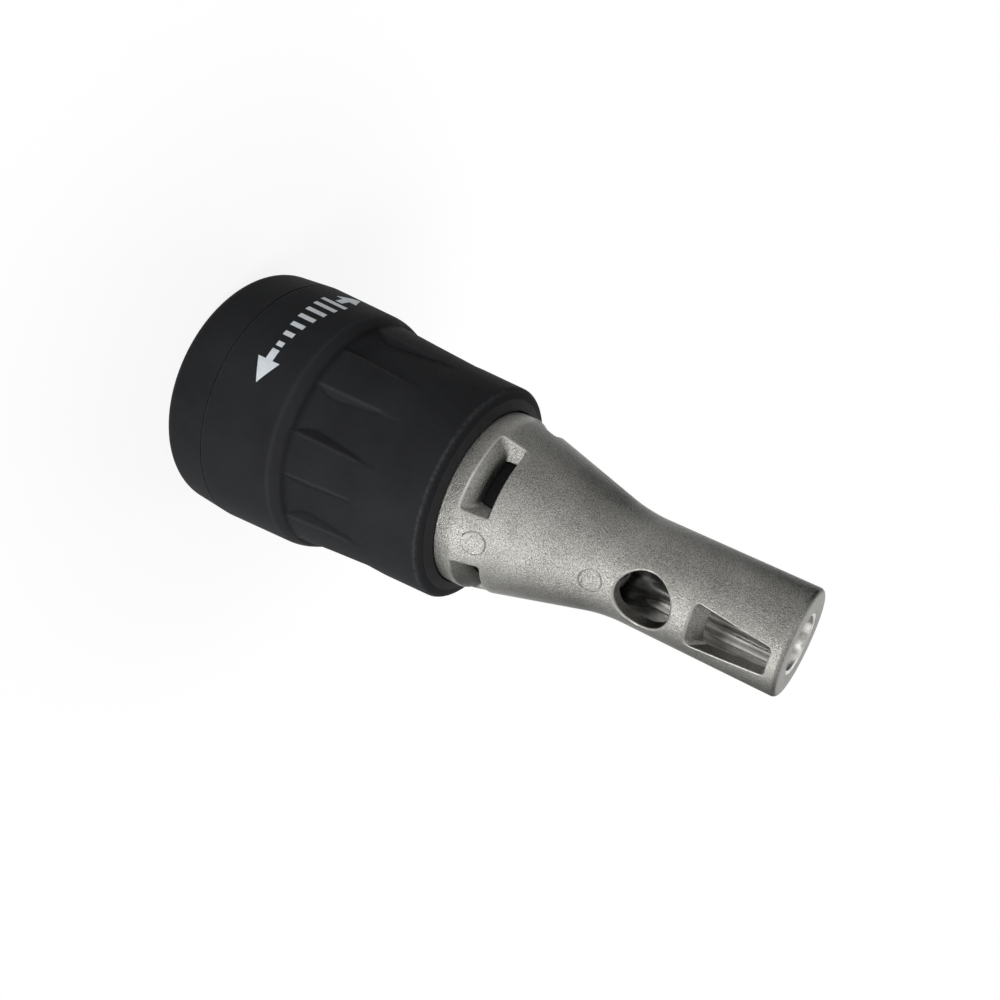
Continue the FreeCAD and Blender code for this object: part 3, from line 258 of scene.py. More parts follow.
class FinishColours(bpy.types.PropertyGroup):
    """Colours of the finishes, and how strongly they show wear, painted highlights and painted shade."""
    grip: colour("Grip", "Dark tone of the moulded grip", 0.0178, 0.0183, 0.0196)
    grip_light: colour("Grip light", "Light tone of the moulded grip", 0.0236, 0.0244, 0.0262)
    # Tone of the rubbed rims, of the crests, which are partly rubbed and partly a painted highlight, and of
    # the band's painted highlight line.
    grip_wear_and_highlight: colour("Grip wear", "Rubbed edges of the moulded grip", 0.070, 0.071, 0.073)
    cast: colour("Cast metal", "Dark tone of the cast nose", 0.135, 0.133, 0.121)
    cast_light: colour("Cast metal light", "Light tone of the cast nose", 0.35, 0.346, 0.326)
    steel: colour("Steel", "Turned tool steel", 0.46, 0.46, 0.47)
    spring: colour("Spring steel", "Blued spring steel", 0.20, 0.205, 0.215)
    bronze: colour("Bronze", "Sintered bush bronze", 0.42, 0.27, 0.13)
    rubber: colour("Rubber", "Seal rubber", 0.010, 0.010, 0.010)
    moulding: colour("Moulding", "Filled plastic of the frame", 0.0036, 0.0037, 0.0040)
    magnet: colour("Magnet", "Plated magnet", 0.62, 0.60, 0.57)
    print: colour("Print", "White print", 0.70, 0.745, 0.785)
    # Painted shade: the tone that the panels' hollows and the shoulder's foot are darkened towards.
    grip_painted_shade: colour("Grip hollows", "Dark hollows of the moulded grip", 0.004, 0.004, 0.0045)
    # Painted highlight: tone that the cast nose's sharp edges are lightened towards.
    cast_painted_highlight: colour("Cast metal edges", "Bright edges of the cast nose", 0.78, 0.77, 0.75)
    # Painted light: the casting's inside is lightened to stand in for the light that reaches it.
    bore_painted_light: colour("Bore light", "Light tone of the casting's smooth inside", 0.93, 0.92, 0.90)
    # Rims' tone: partly polish, partly a painted highlight.
    rim_polish_and_highlight: colour("Rim light", "Light tone of the openings' rubbed rims", 0.42, 0.413, 0.397)
    # Painted highlight: tone that the steel's sharp edges are lightened towards.
    steel_painted_highlight: colour("Steel edges", "Bright edges of the steel", 0.72, 0.72, 0.73)
    bronze_light: colour("Bronze light", "Light tone of the bush bronze", 0.50, 0.34, 0.18)
    rubber_bloom: colour("Rubber bloom", "Dry bloom on the rubber", 0.024, 0.024, 0.025)
    moulding_streak: colour("Moulding streaks", "Pale streaks in the filled plastic", 0.009, 0.0092, 0.0096)
    rim_wear: share("Rim wear", "How much the grip's rims are rubbed", 0.7)
    # Crests: partly wear, partly a painted highlight.
    crest_wear_and_highlight: share("Crest wear", "How much the crests of the panels are rubbed", 0.45)
    # Painted highlight: how bright the line along the band's rounded end is.
    brow_painted_highlight: share("Brow wear", "How much the end of the band is rubbed", 0.16)
    # Painted shade: how far the panels' hollows and the shoulder's foot are darkened.
    hollow_painted_shade: share("Hollow shade", "How dark the panels' hollows are", 0.75)
    foot_painted_shade: share("Foot shade", "How dark the shoulder's foot is", 0.48)
    # Painted highlight: how far the sharp edges of the cast nose and of the steel are lightened.
    cast_highlight_amount: share("Cast shine", "How bright the edges of the cast nose are", 0.5)
    steel_highlight_amount: share("Steel shine", "How bright the edges of the steel are", 0.45)
    mark_shade: share("Mark shade", "How dark the ejector marks are", 0.3)


class StageSettings(bpy.types.PropertyGroup):
    """Floor, light and camera."""
    floor_width: length("Floor width", "Side of the square floor", 6000.0)
    floor_colour: colour("Floor colour", "Pale floor", 0.93, 0.93, 0.93)
    floor_glow: share("Floor glow", "How much of the floor by the object is plain white to the camera", 0.88)
    shadow_near: length("Shadow near", "Distance at which the shadow starts to fade", 24.0)
    shadow_far: length("Shadow far", "Distance at which the floor is plain white", 85.0)
    ambient: share("Ambient", "Strength of the even light from all round", 0.2)
    key_power: power("Key power", "Power of the main lamp", 1.55)
    glint_power: power("Glint power", "Power of the low lamp that the metal mirrors", 0.56)
    fill_power: power("Fill power", "Power of the second lamp", 0.22)
    back_power: power("Back power", "Power of the lamp behind the object", 1.5)
    middle: length("Middle", "Height that most lamps and cards face", 60.0)
    glint_height: length("Glint height", "Height that the low lamp faces", 38.0)
    left_height: length("Left height", "Height that the left card faces", 100.0)
    lens: FloatProperty(name="Lens", description="Focal length on a 36 mm sensor", unit="CAMERA",
                        default=43.2)


def deselect_all():
    """Leave edit mode with nothing selected."""
    if bpy.context.object is not None and bpy.context.object.mode != "OBJECT":
        bpy.ops.object.mode_set(mode="OBJECT")
    bpy.ops.object.select_all(action="DESELECT")


def only(piece):
    """Make one object the selected and active one."""
    deselect_all()
    piece.select_set(True)
    bpy.context.view_layer.objects.active = piece


def pick_points(piece, wanted):
    """Select the vertices, in edit mode, that a test on their place accepts."""
    bpy.ops.mesh.select_mode(type="VERT")
    bpy.ops.mesh.select_all(action="DESELECT")
    mesh = bmesh.from_edit_mesh(piece.data)
    for vertex in mesh.verts:
        vertex.select = wanted(vertex.co)
    mesh.select_flush_mode()
    bmesh.update_edit_mesh(piece.data)


def pick_edges(piece, wanted):
    """Select the edges, in edit mode, that a test on their two ends accepts."""
    bpy.ops.mesh.select_mode(type="EDGE")
    bpy.ops.mesh.select_all(action="DESELECT")
    mesh = bmesh.from_edit_mesh(piece.data)
    found = 0
    for edge in mesh.edges:
        if wanted(edge.verts[0].co, edge.verts[1].co):
            edge.select = True
            found += 1
    mesh.select_flush_mode()
    bmesh.update_edit_mesh(piece.data)
    return found


def rename(piece, name):
    """Give an object and its mesh one name."""
    piece.name = name
    piece.data.name = name


def join_all(pieces):
    """Join pieces into the first of them."""
    deselect_all()
    for piece in pieces:
        piece.select_set(True)
    bpy.context.view_layer.objects.active = pieces[0]
    bpy.ops.object.join()
    return pieces[0]


def apply_modifier(piece, name, kind, **settings):
    """Give a piece one modifier with its settings, and apply it."""
    only(piece)
    modifier = piece.modifiers.new(name, kind)
    for key, value in settings.items():
        setattr(modifier, key, value)
    bpy.ops.object.modifier_apply(modifier=modifier.name)


def near(first, second):
    """Whether two places are the same."""
    return (Vector(first) - Vector(second)).length < TOUCH


def draw_outline(name, points):
    """Closed outline in radius and height, drawn on the upright plane through the axis."""
    deselect_all()
    bpy.ops.mesh.primitive_circle_add(vertices=len(points), radius=1.0, fill_type="NOTHING")
    piece = bpy.context.object
    rename(piece, name)
    for vertex, (radius, height) in zip(piece.data.vertices, points):
        vertex.co = (radius, 0.0, height)
    bpy.ops.object.mode_set(mode="EDIT")
    return piece


def soften_corner(piece, radius, height, setback, segments):
    """Round one corner of an outline, starting at a setback along its two lines."""
    spot = (radius, 0.0, height)
    pick_points(piece, lambda place: near(place, spot))
    bpy.ops.mesh.bevel(offset=setback, offset_type="OFFSET", segments=segments, affect="VERTICES",
                       profile=0.5)


def divide_run(piece, low, high, smallest_radius, step):
    """Divide the long outer lines of an outline between two heights into steps."""
    def wanted(first, second):
        outside = min(first.x, second.x) > smallest_radius
        bottom, top = sorted((first.z, second.z))
        return outside and bottom > low - TOUCH and top < high + TOUCH and top - bottom > step * 2
    while pick_edges(piece, wanted):
        bpy.ops.mesh.subdivide(number_cuts=1)


def close_up(fill=False):
    """Merge the doubles of a mesh in edit mode, cap its open ends if asked, and turn its normals outwards."""
    bpy.ops.mesh.select_all(action="SELECT")
    bpy.ops.mesh.remove_doubles(threshold=TOUCH)
    if fill:
        bpy.ops.mesh.fill_holes(sides=0)
        bpy.ops.mesh.select_all(action="SELECT")
    bpy.ops.mesh.normals_make_consistent(inside=False)
    bpy.ops.object.mode_set(mode="OBJECT")


def spin_round(steps):
    """Turn an outline in edit mode into a closed body round the axis."""
    bpy.ops.mesh.select_all(action="SELECT")
    bpy.ops.mesh.spin(steps=steps, angle=math.tau, center=(0.0, 0.0, 0.0), axis=(0.0, 0.0, 1.0))
    close_up()


def clean_mesh(piece, smallest):
    """Merge doubles, drop slivers and spare points along edges, and turn the normals outwards."""
    only(piece)
    bpy.ops.object.mode_set(mode="EDIT")
    bpy.ops.mesh.select_all(action="SELECT")
    bpy.ops.mesh.remove_doubles(threshold=smallest)
    bpy.ops.mesh.dissolve_degenerate(threshold=smallest)
    mesh = bmesh.from_edit_mesh(piece.data)
    spare = [vertex for vertex in mesh.verts if len(vertex.link_edges) == 2 and len(vertex.link_faces) == 2]
    bmesh.ops.dissolve_verts(mesh, verts=spare)
    bmesh.update_edit_mesh(piece.data)
    close_up()


def smooth_shade(piece, degrees):
    """Shade a piece smooth, with edges sharp where it turns by more than an angle."""
    only(piece)
    bpy.ops.object.shade_smooth_by_angle(angle=math.radians(degrees))


def set_finish(piece, material):
    """Give every face of a new piece one finish."""
    piece.data.materials.clear()
    piece.data.materials.append(material)


def repaint_node(name, material):
    """Give a carried-over CAD node a finish and leave its mesh alone."""
    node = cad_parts[name]
    for holder in node.material_slots:
        holder.link = "OBJECT"
        holder.material = material


class Nodes:
    """Tree of shader nodes, built from small named steps."""

    def __init__(self, owner):
        owner.use_nodes = True
        self.tree = owner.node_tree
        self.tree.nodes.clear()

    def feed(self, target, value):
        """Link a socket to an input, or set the input to a plain value."""
        if isinstance(value, bpy.types.NodeSocket):
            self.tree.links.new(value, target)
        else:
            target.default_value = value

    def node(self, kind, inputs=None, **settings):
        """Add a node with its settings, and feed its inputs."""
        item = self.tree.nodes.new(kind)
        for name, value in settings.items():
            setattr(item, name, value)
        for name, value in (inputs or {}).items():
            self.feed(item.inputs[name], value)
        return item

    def spread(self, source, low, high, start=0.0, end=1.0, **settings):
        """Map a value from one range to another, held at both ends."""
        inputs = {"Value": source, "From Min": low, "From Max": high, "To Min": start, "To Max": end}
        return self.node("ShaderNodeMapRange", inputs, clamp=True, **settings).outputs["Result"]

    def maths(self, kind, first, *others):
        """Arithmetic on values in turn, each a socket or a number."""
        for other in others:
            first = self.node("ShaderNodeMath", {0: first, 1: other}, operation=kind).outputs["Value"]
        return first

    def times(self, *values):
        return self.maths("MULTIPLY", *values)

    def plus(self, *values):
        return self.maths("ADD", *values)

    def most(self, *values):
        return self.maths("MAXIMUM", *values)

    def apart(self, first, second):
        """How far two values are from each other."""
        return self.maths("ABSOLUTE", self.maths("SUBTRACT", first, second), 0.0)

    def vectors(self, kind, *inputs):
        """Vector arithmetic on inputs in their order."""
        return self.node("ShaderNodeVectorMath", dict(enumerate(inputs)), operation=kind).outputs


class Finish(Nodes):
    """Material of one finish, whose patterns follow Object coordinates."""

    def __init__(self, name, roughness, metallic=0.0, specular=0.5):
        self.material = bpy.data.materials.new(name)
        super().__init__(self.material)
        self.shader = self.node("ShaderNodeBsdfPrincipled", {
            "Metallic": metallic, "Specular IOR Level": specular, "Roughness": roughness})
        self.node("ShaderNodeOutputMaterial", {"Surface": self.shader.outputs["BSDF"]})
        self.place = self.node("ShaderNodeTexCoord").outputs["Object"]

    def stretched(self, across, along):
        """Place with its own scale round and along the axis."""
        inputs = {"Scale": (across, across, along), "Vector": self.place}
        return self.node("ShaderNodeMapping", inputs).outputs["Vector"]

    def axis(self, name):
        """Place along one axis."""
        return self.node("ShaderNodeSeparateXYZ", {"Vector": self.place}).outputs[name]

    def noise(self, scale, detail=3.0, rough=0.55, place=None):
        """Soft noise at a scale."""
        inputs = {"Scale": scale, "Detail": detail, "Roughness": rough, "Vector": place or self.place}
        return self.node("ShaderNodeTexNoise", inputs).outputs["Fac"]

    def cells(self, scale):
        """Distance from the middles of scattered cells."""
        inputs = {"Scale": scale, "Randomness": 1.0, "Vector": self.place}
        return self.node("ShaderNodeTexVoronoi", inputs, feature="F1").outputs["Distance"]

    def blend(self, factor, first, second):
        """Mix two colours, each a socket or a tone."""
        item = self.node("ShaderNodeMix", {"Factor": factor}, data_type="RGBA")
        ends = [socket for socket in item.inputs if socket.type == "RGBA"]
        for end, value in zip(ends, (first, second)):
            self.feed(end, value)
        return next(socket for socket in item.outputs if socket.type == "RGBA")

    def rounded(self, radius):
        """Normal that rounds sharp edges to a radius."""
        return self.node("ShaderNodeBevel", {"Radius": radius}, samples=6).outputs["Normal"]

    def edges(self, rounded):
        """Mask that is one on sharp edges, from their rounded normal."""
        flat = self.node("ShaderNodeNewGeometry").outputs["Normal"]
        return self.spread(self.vectors("DOT_PRODUCT", rounded, flat)["Value"], 0.72, 0.98, 1.0, 0.0)

    def bends(self, outer, inner):
        """Masks that are one where the mesh bends outwards, and where it bends inwards."""
        bend = self.node("ShaderNodeNewGeometry").outputs["Pointiness"]
        stray = self.spread(bend, 0.505 + outer, 0.52 + outer, 1.0, 0.0)
        crests = self.times(self.spread(bend, 0.502, 0.5 + outer), stray)
        return crests, self.spread(bend, 0.5 - inner, 0.498, 1.0, 0.0)

    def bump(self, height, distance, strength=1.0, normal=None):
        """Normal with a pattern's height on it."""
        inputs = {"Strength": strength, "Distance": distance, "Height": height}
        if normal is not None:
            inputs["Normal"] = normal
        return self.node("ShaderNodeBump", inputs).outputs["Normal"]

    def paint(self, base, roughness, normal):
        """Join the finished steps to the shader."""
        for name, socket in (("Base Color", base), ("Roughness", roughness), ("Normal", normal)):
            self.feed(self.shader.inputs[name], socket)
        return self.material


def darker(tone, part):
    """Tone dimmed to a part of its light."""
    return tuple(part * value for value in tone[:3]) + (1.0,)


def height_line(finish, height, spread, core=0.0):
    """Mask of a line round the axis at a height, soft over a spread to both sides of its core."""
    return finish.spread(finish.apart(finish.axis("Z"), height), core, core + spread, 1.0, 0.0)


def grip_finish(colours, sizes):
    """Moulded black grip: fine eroded grain, faint clouding, rubbed rims, crests that are partly rubbed and
    partly a painted highlight, a painted highlight line where the band ends, and painted shade in the hollows
    and at the shoulder's foot.
    """
    finish = Finish("moulded_grip", 0.58, specular=0.02)
    rim_width = 0.4 * MM
    seam_width = 0.2 * MM
    brow_width = 0.7 * MM
    foot_width = 0.9 * MM
    worn_fade = 1.5 * MM
    grain = finish.noise(2600.0, 2.0, 0.6)
    clouds = finish.noise(90.0, 4.0)
    patchy = finish.spread(finish.noise(1400.0, 4.0, 0.65), 0.3, 0.62)
    rims = finish.most(height_line(finish, sizes.rim_rub, rim_width),
                       height_line(finish, sizes.seam_rub, seam_width))
    # Crests are lightened as partly wear and partly a painted highlight; hollows take painted shade.
    crests, hollows = finish.bends(0.05, 0.05)
    panels = height_line(finish, sizes.worn_middle, worn_fade, sizes.worn_half)
    # Painted highlight: a lighter line along the rounded end of the band.
    brow = finish.times(height_line(finish, sizes.brow, brow_width), colours.brow_painted_highlight)
    # Painted shade: a dark line along the shoulder's concave foot.
    foot = finish.times(height_line(finish, sizes.foot, foot_width), colours.foot_painted_shade)
    rims = finish.times(rims, patchy, colours.rim_wear)
    # Lightening: rims from wear, crests from wear with a painted highlight, the brow from a painted
    # highlight.
    light = finish.most(rims, finish.times(crests, panels, colours.crest_wear_and_highlight), brow)
    # Painted shade: the panels' hollows and the shoulder's foot are darkened.
    dark = finish.most(finish.times(hollows, panels, colours.hollow_painted_shade), foot)
    base = finish.blend(finish.spread(clouds, 0.3, 0.7), colours.grip, colours.grip_light)
    base = finish.blend(light, base, colours.grip_wear_and_highlight)
    base = finish.blend(dark, base, colours.grip_painted_shade)
    roughness = finish.spread(finish.plus(grain, clouds), 0.7, 1.3, 0.5, 0.66)
    normal = finish.bump(grain, 0.05 * MM, 1.0, finish.rounded(0.25 * MM))
    return finish.paint(base, roughness, normal)


def ejector_ring(finish, height, radius):
    """Mask of one faint round ejector mark on the -Y side of the nose."""
    line_width, side = 0.16 * MM, -4.0 * MM
    flat = finish.vectors("MULTIPLY", finish.place, (1.0, 0.0, 1.0))["Vector"]
    distance = finish.vectors("DISTANCE", flat, (0.0, 0.0, height))["Value"]
    line = finish.spread(finish.apart(distance, radius), 0.0, line_width, 1.0, 0.0)
    return finish.times(line, finish.maths("LESS_THAN", finish.axis("Y"), side))


def cast_finish(colours, sizes):
    """Blasted die-cast metal: speckle, soft flow clouds, a painted highlight on sharp edges, two ejector
    marks.
    """
    finish = Finish("cast_nose", 0.48, metallic=1.0)
    rounded = finish.rounded(0.14 * MM)
    speckle = finish.noise(4600.0, 2.0, 0.65)
    pits = finish.spread(finish.cells(4200.0), 0.05, 0.6)
    clouds = finish.noise(110.0, 4.0, 0.6)
    mottle = finish.plus(finish.times(speckle, 0.75), finish.times(clouds, 0.25))
    base = finish.blend(finish.spread(mottle, 0.38, 0.62), colours.cast, colours.cast_light)
    # Painted highlight: sharp edges lightened towards a bright tone.
    base = finish.blend(finish.times(finish.edges(rounded), colours.cast_highlight_amount), base, colours.cast_painted_highlight)
    roughness = finish.spread(speckle, 0.3, 0.7, 0.31, 0.45)
    marks = finish.plus(ejector_ring(finish, sizes.rear_mark, sizes.rear_mark_radius),
                        ejector_ring(finish, sizes.front_mark, sizes.front_mark_radius))
    marks = finish.times(marks, finish.spread(finish.noise(420.0, 2.0), 0.25, 0.6, 0.2, 1.0))
    base = finish.blend(finish.times(marks, colours.mark_shade), base, colours.cast)
    height = finish.plus(finish.times(speckle, 0.7), finish.times(pits, 0.3))
    normal = finish.bump(height, 0.1 * MM, 1.0, rounded)
    normal = finish.bump(marks, 0.09 * MM, 1.0, normal)
    return finish.paint(base, roughness, normal)


def bore_finish(colours):
    """Smooth inside of the casting: painted lighter to stand in for light that reaches the inside, with faint
    lines from drawing the core.
    """
    finish = Finish("cast_bore", 0.32, metallic=1.0)
    lines = finish.noise(500.0, 2.0, 0.5, finish.stretched(1.5, 0.05))
    stain = finish.noise(200.0, 4.0)
    streaked = finish.spread(finish.plus(lines, stain), 0.75, 1.25)
    # Painted light: the inside is lightened well above the cast nose's own tone.
    base = finish.blend(streaked, colours.cast_light, colours.bore_painted_light)
    rough = finish.spread(lines, 0.3, 0.7, 0.26, 0.38)
    return finish.paint(base, rough, finish.bump(lines, 0.01 * MM, 0.4))


def rim_finish(colours):
    """Rims of the openings: rubbed smoother than the blasted metal, and brighter, partly from polish and
    partly as a painted highlight.
    """
    finish = Finish("cast_rims", 0.34, metallic=1.0)
    speckle = finish.noise(2900.0, 3.0, 0.65)
    # Brighter tone: partly polish, partly a painted highlight.
    base = finish.blend(finish.spread(speckle, 0.4, 0.7), colours.cast_light, colours.rim_polish_and_highlight)
    rough = finish.spread(speckle, 0.3, 0.7, 0.32, 0.46)
    return finish.paint(base, rough, finish.bump(speckle, 0.03 * MM, 0.8))


def finish_openings(piece, sizes, bore, rims):
    """Give the tube's inside and the rims of the openings their own finishes."""
    piece.data.materials.append(bore)
    piece.data.materials.append(rims)
    bore_reach = sizes.tube_bore + 0.2 * MM
    skin = 0.01 * MM
    rims_end = sizes.window_front + MM
    to_axis, off_axis = -0.3, 0.93
    for face in piece.data.polygons:
        height = face.center.z
        middle = Vector((face.center.x, face.center.y, 0.0))
        outwards = face.normal.dot(middle) / middle.length
        under = nose_radius(sizes, height) - middle.length
        if outwards < to_axis and middle.length < bore_reach and height > sizes.bore_rear:
            face.material_index = 1
        elif skin < under < sizes.round_lip and outwards < off_axis and height < rims_end:
            face.material_index = 2


def steel_finish(colours, name, tone, roughness):
    """Turned steel: fine rings along the axis, a light stain and a painted highlight on sharp edges."""
    finish = Finish(name, roughness, metallic=1.0)
    rounded = finish.rounded(0.15 * MM)
    rings = finish.noise(900.0, 3.0, 0.6, finish.stretched(0.02, 4.0))
    stain = finish.noise(160.0, 4.0)
    base = finish.blend(finish.spread(finish.plus(rings, stain), 0.75, 1.25), darker(tone, 0.72), tone)
    # Painted highlight: sharp edges lightened towards a bright tone.
    base = finish.blend(finish.times(finish.edges(rounded), colours.steel_highlight_amount), base, colours.steel_painted_highlight)
    rough = finish.spread(rings, 0.3, 0.7, roughness - 0.07, roughness + 0.07)
    return finish.paint(base, rough, finish.bump(rings, 0.012 * MM, 0.7, rounded))


def bronze_finish(colours):
    """Sintered bronze: warm, matt, with open pores."""
    finish = Finish("sintered_bronze", 0.5, metallic=1.0)
    pores = finish.spread(finish.cells(3200.0), 0.1, 0.35)
    clouds = finish.noise(240.0, 3.0)
    light = finish.blend(finish.spread(clouds, 0.3, 0.7), colours.bronze, colours.bronze_light)
    base = finish.blend(pores, darker(colours.bronze, 0.35), light)
    rough = finish.spread(pores, 0.0, 1.0, 0.68, 0.42)
    return finish.paint(base, rough, finish.bump(pores, 0.02 * MM))


def rubber_finish(colours):
    """Seal rubber: dull, with a dry bloom."""
    finish = Finish("seal_rubber", 0.7, specular=0.3)
    bloom = finish.noise(300.0, 5.0, 0.6)
    fine = finish.noise(5200.0, 2.0)
    base = finish.blend(finish.spread(bloom, 0.45, 0.8), colours.rubber, colours.rubber_bloom)
    rough = finish.spread(bloom, 0.3, 0.7, 0.6, 0.8)
    return finish.paint(base, rough, finish.bump(fine, 0.01 * MM, 0.6, finish.rounded(0.2 * MM)))


def moulding_finish(colours):
    """Glass-filled plastic of the frame: dark, with short pale streaks."""
    finish = Finish("filled_moulding", 0.5, specular=0.08)
    streaks = finish.noise(700.0, 4.0, 0.6, finish.stretched(2.4, 0.5))
    base = finish.blend(finish.spread(streaks, 0.5, 0.8), colours.moulding, colours.moulding_streak)
    rough = finish.spread(streaks, 0.3, 0.7, 0.4, 0.6)
    return finish.paint(base, rough, finish.bump(streaks, 0.015 * MM, 0.7, finish.rounded(0.2 * MM)))


def print_finish(colours):
    """White pad print: a little uneven, with a faint grain from the plastic below."""
    finish = Finish("white_print", 0.5, specular=0.35)
    grain = finish.noise(4200.0, 2.0, 0.6)
    cover = finish.noise(500.0, 3.0)
    thin = darker(colours.print, 0.82)
    base = finish.blend(finish.spread(finish.plus(grain, cover), 0.7, 1.2), thin, colours.print)
    rough = finish.spread(grain, 0.3, 0.7, 0.42, 0.58)
    return finish.paint(base, rough, finish.bump(grain, 0.012 * MM, 0.6))


def lower_of(first, second, softness):
    """Smaller of two values with a soft change from one to the other."""
    mixed = max(0.0, min(1.0, 0.5 + 0.5 * (second - first) / softness))
    return second + (first - second) * mixed - softness * mixed * (1.0 - mixed)


def upper_of(first, second, softness):
    """Larger of two values with a soft change from one to the other."""
    return -lower_of(-first, -second, softness)


def scoop_panels(piece, sizes):
    """Sink the scooped panels into the grip between its ridges."""
    pitch = math.tau / sizes.panel_count
    for vertex in piece.data.vertices:
        radius = math.hypot(vertex.co.x, vertex.co.y)
        if radius < sizes.mouth_radius + MM or not sizes.band_front < vertex.co.z < sizes.rim_front - MM:
            continue
        angle = math.atan2(vertex.co.y, vertex.co.x) - sizes.panel_turn
        off_middle = abs((angle + pitch / 2) % pitch - pitch / 2)
        along = (vertex.co.z - sizes.shoulder_front) / (sizes.ridge_front - sizes.shoulder_front)
        half = sizes.panel_half + sizes.panel_spread * along
        wall = (half - off_middle) * radius * sizes.wall_slope
        short = max(0.0, sizes.panel_deep - vertex.co.z) / (sizes.panel_deep - sizes.shoulder_front)
        ahead = max(0.0, vertex.co.z - sizes.panel_deep) / (sizes.ridge_front - sizes.panel_deep)
        front_rise = sizes.ridge_radius - sizes.panel_floor
        floor = sizes.panel_floor + sizes.rear_rise * short ** 2 + front_rise * ahead
        fall = lower_of(wall, radius - floor, sizes.softness * 2)
        wanted = radius - upper_of(fall, 0.0, sizes.softness)
        vertex.co.x *= wanted / radius
        vertex.co.y *= wanted / radius


class DEPTHSTOP_OT_grip_ring(bpy.types.Operator):
    """Model the grip ring: a turned outline with softened edges and eight scooped panels"""
    bl_idname = "depthstop.grip_ring"
    bl_label = "Grip ring"

    def execute(self, context):
        sizes = context.scene.depth_stop_grip
        points = [
            (sizes.rear_bore, sizes.rear), (sizes.band_radius, sizes.rear),
            (sizes.band_front_radius, sizes.band_front), (sizes.shoulder_radius, sizes.shoulder_front),
            (sizes.ridge_radius, sizes.ridge_front), (sizes.rim_radius, sizes.rim_front),
            (sizes.mouth_radius, sizes.front), (sizes.mouth_radius, sizes.seat_rear),
            (sizes.sleeve_radius, sizes.seat_rear), (sizes.sleeve_radius, sizes.sleeve_rear),
            (sizes.hollow_radius, sizes.sleeve_rear), (sizes.hollow_radius, sizes.web_front),
            (sizes.web_radius, sizes.web_front), (sizes.web_radius, sizes.web_rear),
            (sizes.rear_bore, sizes.web_rear)]
        ring = draw_outline("grip_ring", points)
        soften_corner(ring, sizes.band_radius, sizes.rear, sizes.seam_rounding, segments=4)
        soften_corner(ring, sizes.band_front_radius, sizes.band_front, sizes.band_rounding, segments=10)
        soften_corner(ring, sizes.shoulder_radius, sizes.shoulder_front, sizes.shoulder_rounding, segments=8)
        soften_corner(ring, sizes.rim_radius, sizes.rim_front, sizes.rim_rounding, segments=5)
        divide_run(ring, sizes.band_front, sizes.ridge_front, sizes.mouth_radius, sizes.grain)
        divide_run(ring, sizes.rear, sizes.band_front, sizes.mouth_radius, sizes.band_grain)
        spin_round(sizes.steps)
        scoop_panels(ring, sizes)
        smooth_shade(ring, degrees=40.0)
        set_finish(ring, grip_finish(context.scene.depth_stop_colours, sizes))
        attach(ring, "adjusting_ring")
        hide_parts("adjusting_ring")
        return {"FINISHED"}


def raise_ribs(piece, sizes):
    """Raise rounded ribs on the inside of the tube."""
    pitch = math.tau / sizes.rib_count
    for vertex in piece.data.vertices:
        radius = math.hypot(vertex.co.x, vertex.co.y)
        on_bore = abs(radius - sizes.tube_bore) < SLIVER * 2
        if not on_bore or not sizes.rib_start < vertex.co.z < sizes.cavity_front + TOUCH:
            continue
        bearing = math.atan2(vertex.co.y, vertex.co.x)
        off = abs((bearing - sizes.rib_turn + pitch / 2) % pitch - pitch / 2) / pitch
        from_windows = abs((bearing + math.pi * 1.5) % math.tau - math.pi)
        clear = max(0.0, min(1.0, (from_windows - sizes.rib_clear) / (pitch / 2)))
        lead = min(1.0, (vertex.co.z - sizes.rib_start) / sizes.rib_fade)
        wanted = radius - sizes.rib_height * lead * clear * (0.5 + 0.5 * math.cos(math.tau * off))
        vertex.co.x *= wanted / radius
        vertex.co.y *= wanted / radius


def nose_radius(sizes, height):
    """Outer radius of the nose at a height."""
    along = (height - sizes.cone_rear) / (sizes.cone_front - sizes.cone_rear)
    return sizes.base_radius + (sizes.tube_radius - sizes.base_radius) * max(0.0, min(1.0, along))


def rounded_outline(corners, radii, segments):
    """Closed outline with rounded corners: points, each with the direction that leads out of it."""
    points = []
    count = len(corners)
    for index, radius in enumerate(radii):
        corner = Vector(corners[index])
        before = (Vector(corners[index - 1]) - corner).normalized()
        after = (Vector(corners[(index + 1) % count]) - corner).normalized()
        half = before.angle(after) / 2
        middle = corner + (before + after).normalized() * (radius / math.sin(half))
        start = (corner + before * (radius / math.tan(half)) - middle).normalized()
        end = (corner + after * (radius / math.tan(half)) - middle).normalized()
        sweep = start.angle(end)
        for step in range(segments + 1):
            along = step / segments
            out = (start * math.sin((1.0 - along) * sweep) + end * math.sin(along * sweep)) / math.sin(sweep)
            points.append((middle + out * radius, out))
    return points


def divide_sides(spots, cuts, offset):
    """Outline moved out by an offset, with each straight side between its corners cut into parts."""
    points = []
    per_corner = len(spots) // len(cuts)
    for index, (place, out) in enumerate(spots):
        following, next_out = spots[(index + 1) % len(spots)]
        side, step = divmod(index, per_corner)
        parts = cuts[side] if step == per_corner - 1 else 1
        for part in range(parts):
            along = part / parts
            points.append(place.lerp(following, along) + out.lerp(next_out, along).normalized() * offset)
    return points


def lip_rows(lip):
    """Offset and height, from outside to inside, of a rim rounded by a lip."""
    rows = [(LIP_FLARE_SHARE * lip, LIP_RISE_SHARE * lip)]
    for degrees in LIP_TURNS:
        turned = math.radians(degrees)
        rows.append((lip + lip * math.cos(turned), -lip + lip * math.sin(turned)))
    return rows


